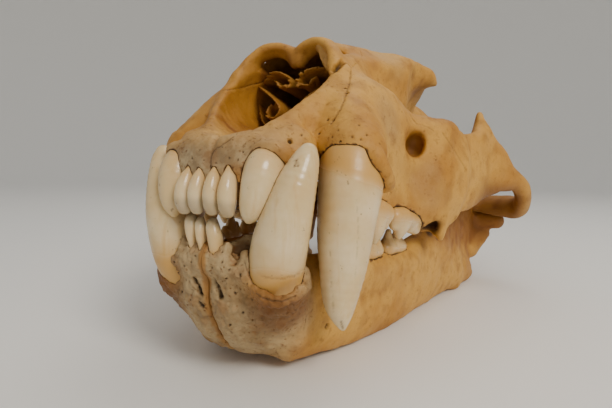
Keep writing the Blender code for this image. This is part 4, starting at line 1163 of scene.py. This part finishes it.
# Studio
studio = {"flat": 1.3, "curve": 0.9, "height": 2.6, "bends": 12, "sides": 96, "paper": (0.86, 0.85, 0.83),
          "sky": 0.6, "skyColour": (0.9, 0.9, 0.88), "aim": (0, -0.03, 0.06)}
lamps = {
    "key": {"spot": (0.62, -0.42, 0.6), "size": 0.35, "power": 5.2, "colour": (1, 0.93, 0.82)},
    "fill": {"spot": (-0.75, -0.6, 0.25), "size": 0.9, "power": 0.5, "colour": (0.92, 0.96, 1)},
    "top": {"spot": (0.1, 0.35, 0.9), "size": 0.6, "power": 1.5, "colour": (1, 0.97, 0.92)},
}


def aimCamera():
    camera = bpy.data.objects.new("camera", bpy.data.cameras.new("camera"))
    camera.data.lens = view["lens"]
    camera.data.sensor_width = view["sensor"]
    camera.data.clip_start = view["near"]
    turned = toRest.to_3x3().normalized() @ viewAxes()
    camera.matrix_world = Matrix.Translation(toRest @ Vector(view["place"])) @ turned.to_4x4()
    bpy.context.scene.collection.objects.link(camera)
    bpy.context.scene.camera = camera


def addBackdrop():
    work = bmesh.new()
    profile = [work.verts.new((0, 0, 0)), work.verts.new((studio["flat"], 0, 0))]
    for step in range(1, studio["bends"] + 1):
        angle = step * math.pi / (2 * studio["bends"])
        across = studio["flat"] + studio["curve"] * math.sin(angle)
        profile.append(work.verts.new((across, 0, studio["curve"] * (1 - math.cos(angle)))))
    profile.append(work.verts.new((studio["flat"] + studio["curve"], 0, studio["height"])))
    edges = [work.edges.new(pair) for pair in zip(profile, profile[1:])]
    bmesh.ops.spin(work, geom=profile + edges, cent=(0, 0, 0), axis=(0, 0, 1), angle=2 * math.pi,
                   steps=studio["sides"], use_merge=True)
    bmesh.ops.remove_doubles(work, verts=work.verts, dist=1e-5)
    bmesh.ops.recalc_face_normals(work, faces=work.faces)
    mesh = bpy.data.meshes.new("backdrop")
    work.to_mesh(mesh)
    work.free()
    mesh.shade_smooth()
    material, _, shader, _ = nodeKit("backdropPaper")
    shader.inputs["Base Color"].default_value = (*studio["paper"], 1)
    shader.inputs["Roughness"].default_value = 0.9
    mesh.materials.append(material)
    backdrop = bpy.data.objects.new("backdrop", mesh)
    bpy.context.scene.collection.objects.link(backdrop)


def addLamp(name, spot, size, power, colour):
    lamp = bpy.data.lights.new(name, "AREA")
    lamp.shape = "DISK"
    lamp.size = size
    lamp.energy = power
    lamp.color = colour
    holder = bpy.data.objects.new(name, lamp)
    aim = Vector(studio["aim"]) - Vector(spot)
    holder.matrix_world = Matrix.Translation(spot) @ aim.to_track_quat("-Z", "Y").to_matrix().to_4x4()
    bpy.context.scene.collection.objects.link(holder)


def addWorld():
    world = bpy.data.worlds.new("studio")
    world.use_nodes = True
    sky = world.node_tree.nodes["Background"]
    sky.inputs["Color"].default_value = (*studio["skyColour"], 1)
    sky.inputs["Strength"].default_value = studio["sky"]
    bpy.context.scene.world = world


aimCamera()
addBackdrop()
addWorld()
for name, lamp in lamps.items():
    addLamp(name, **lamp)
print("studio")
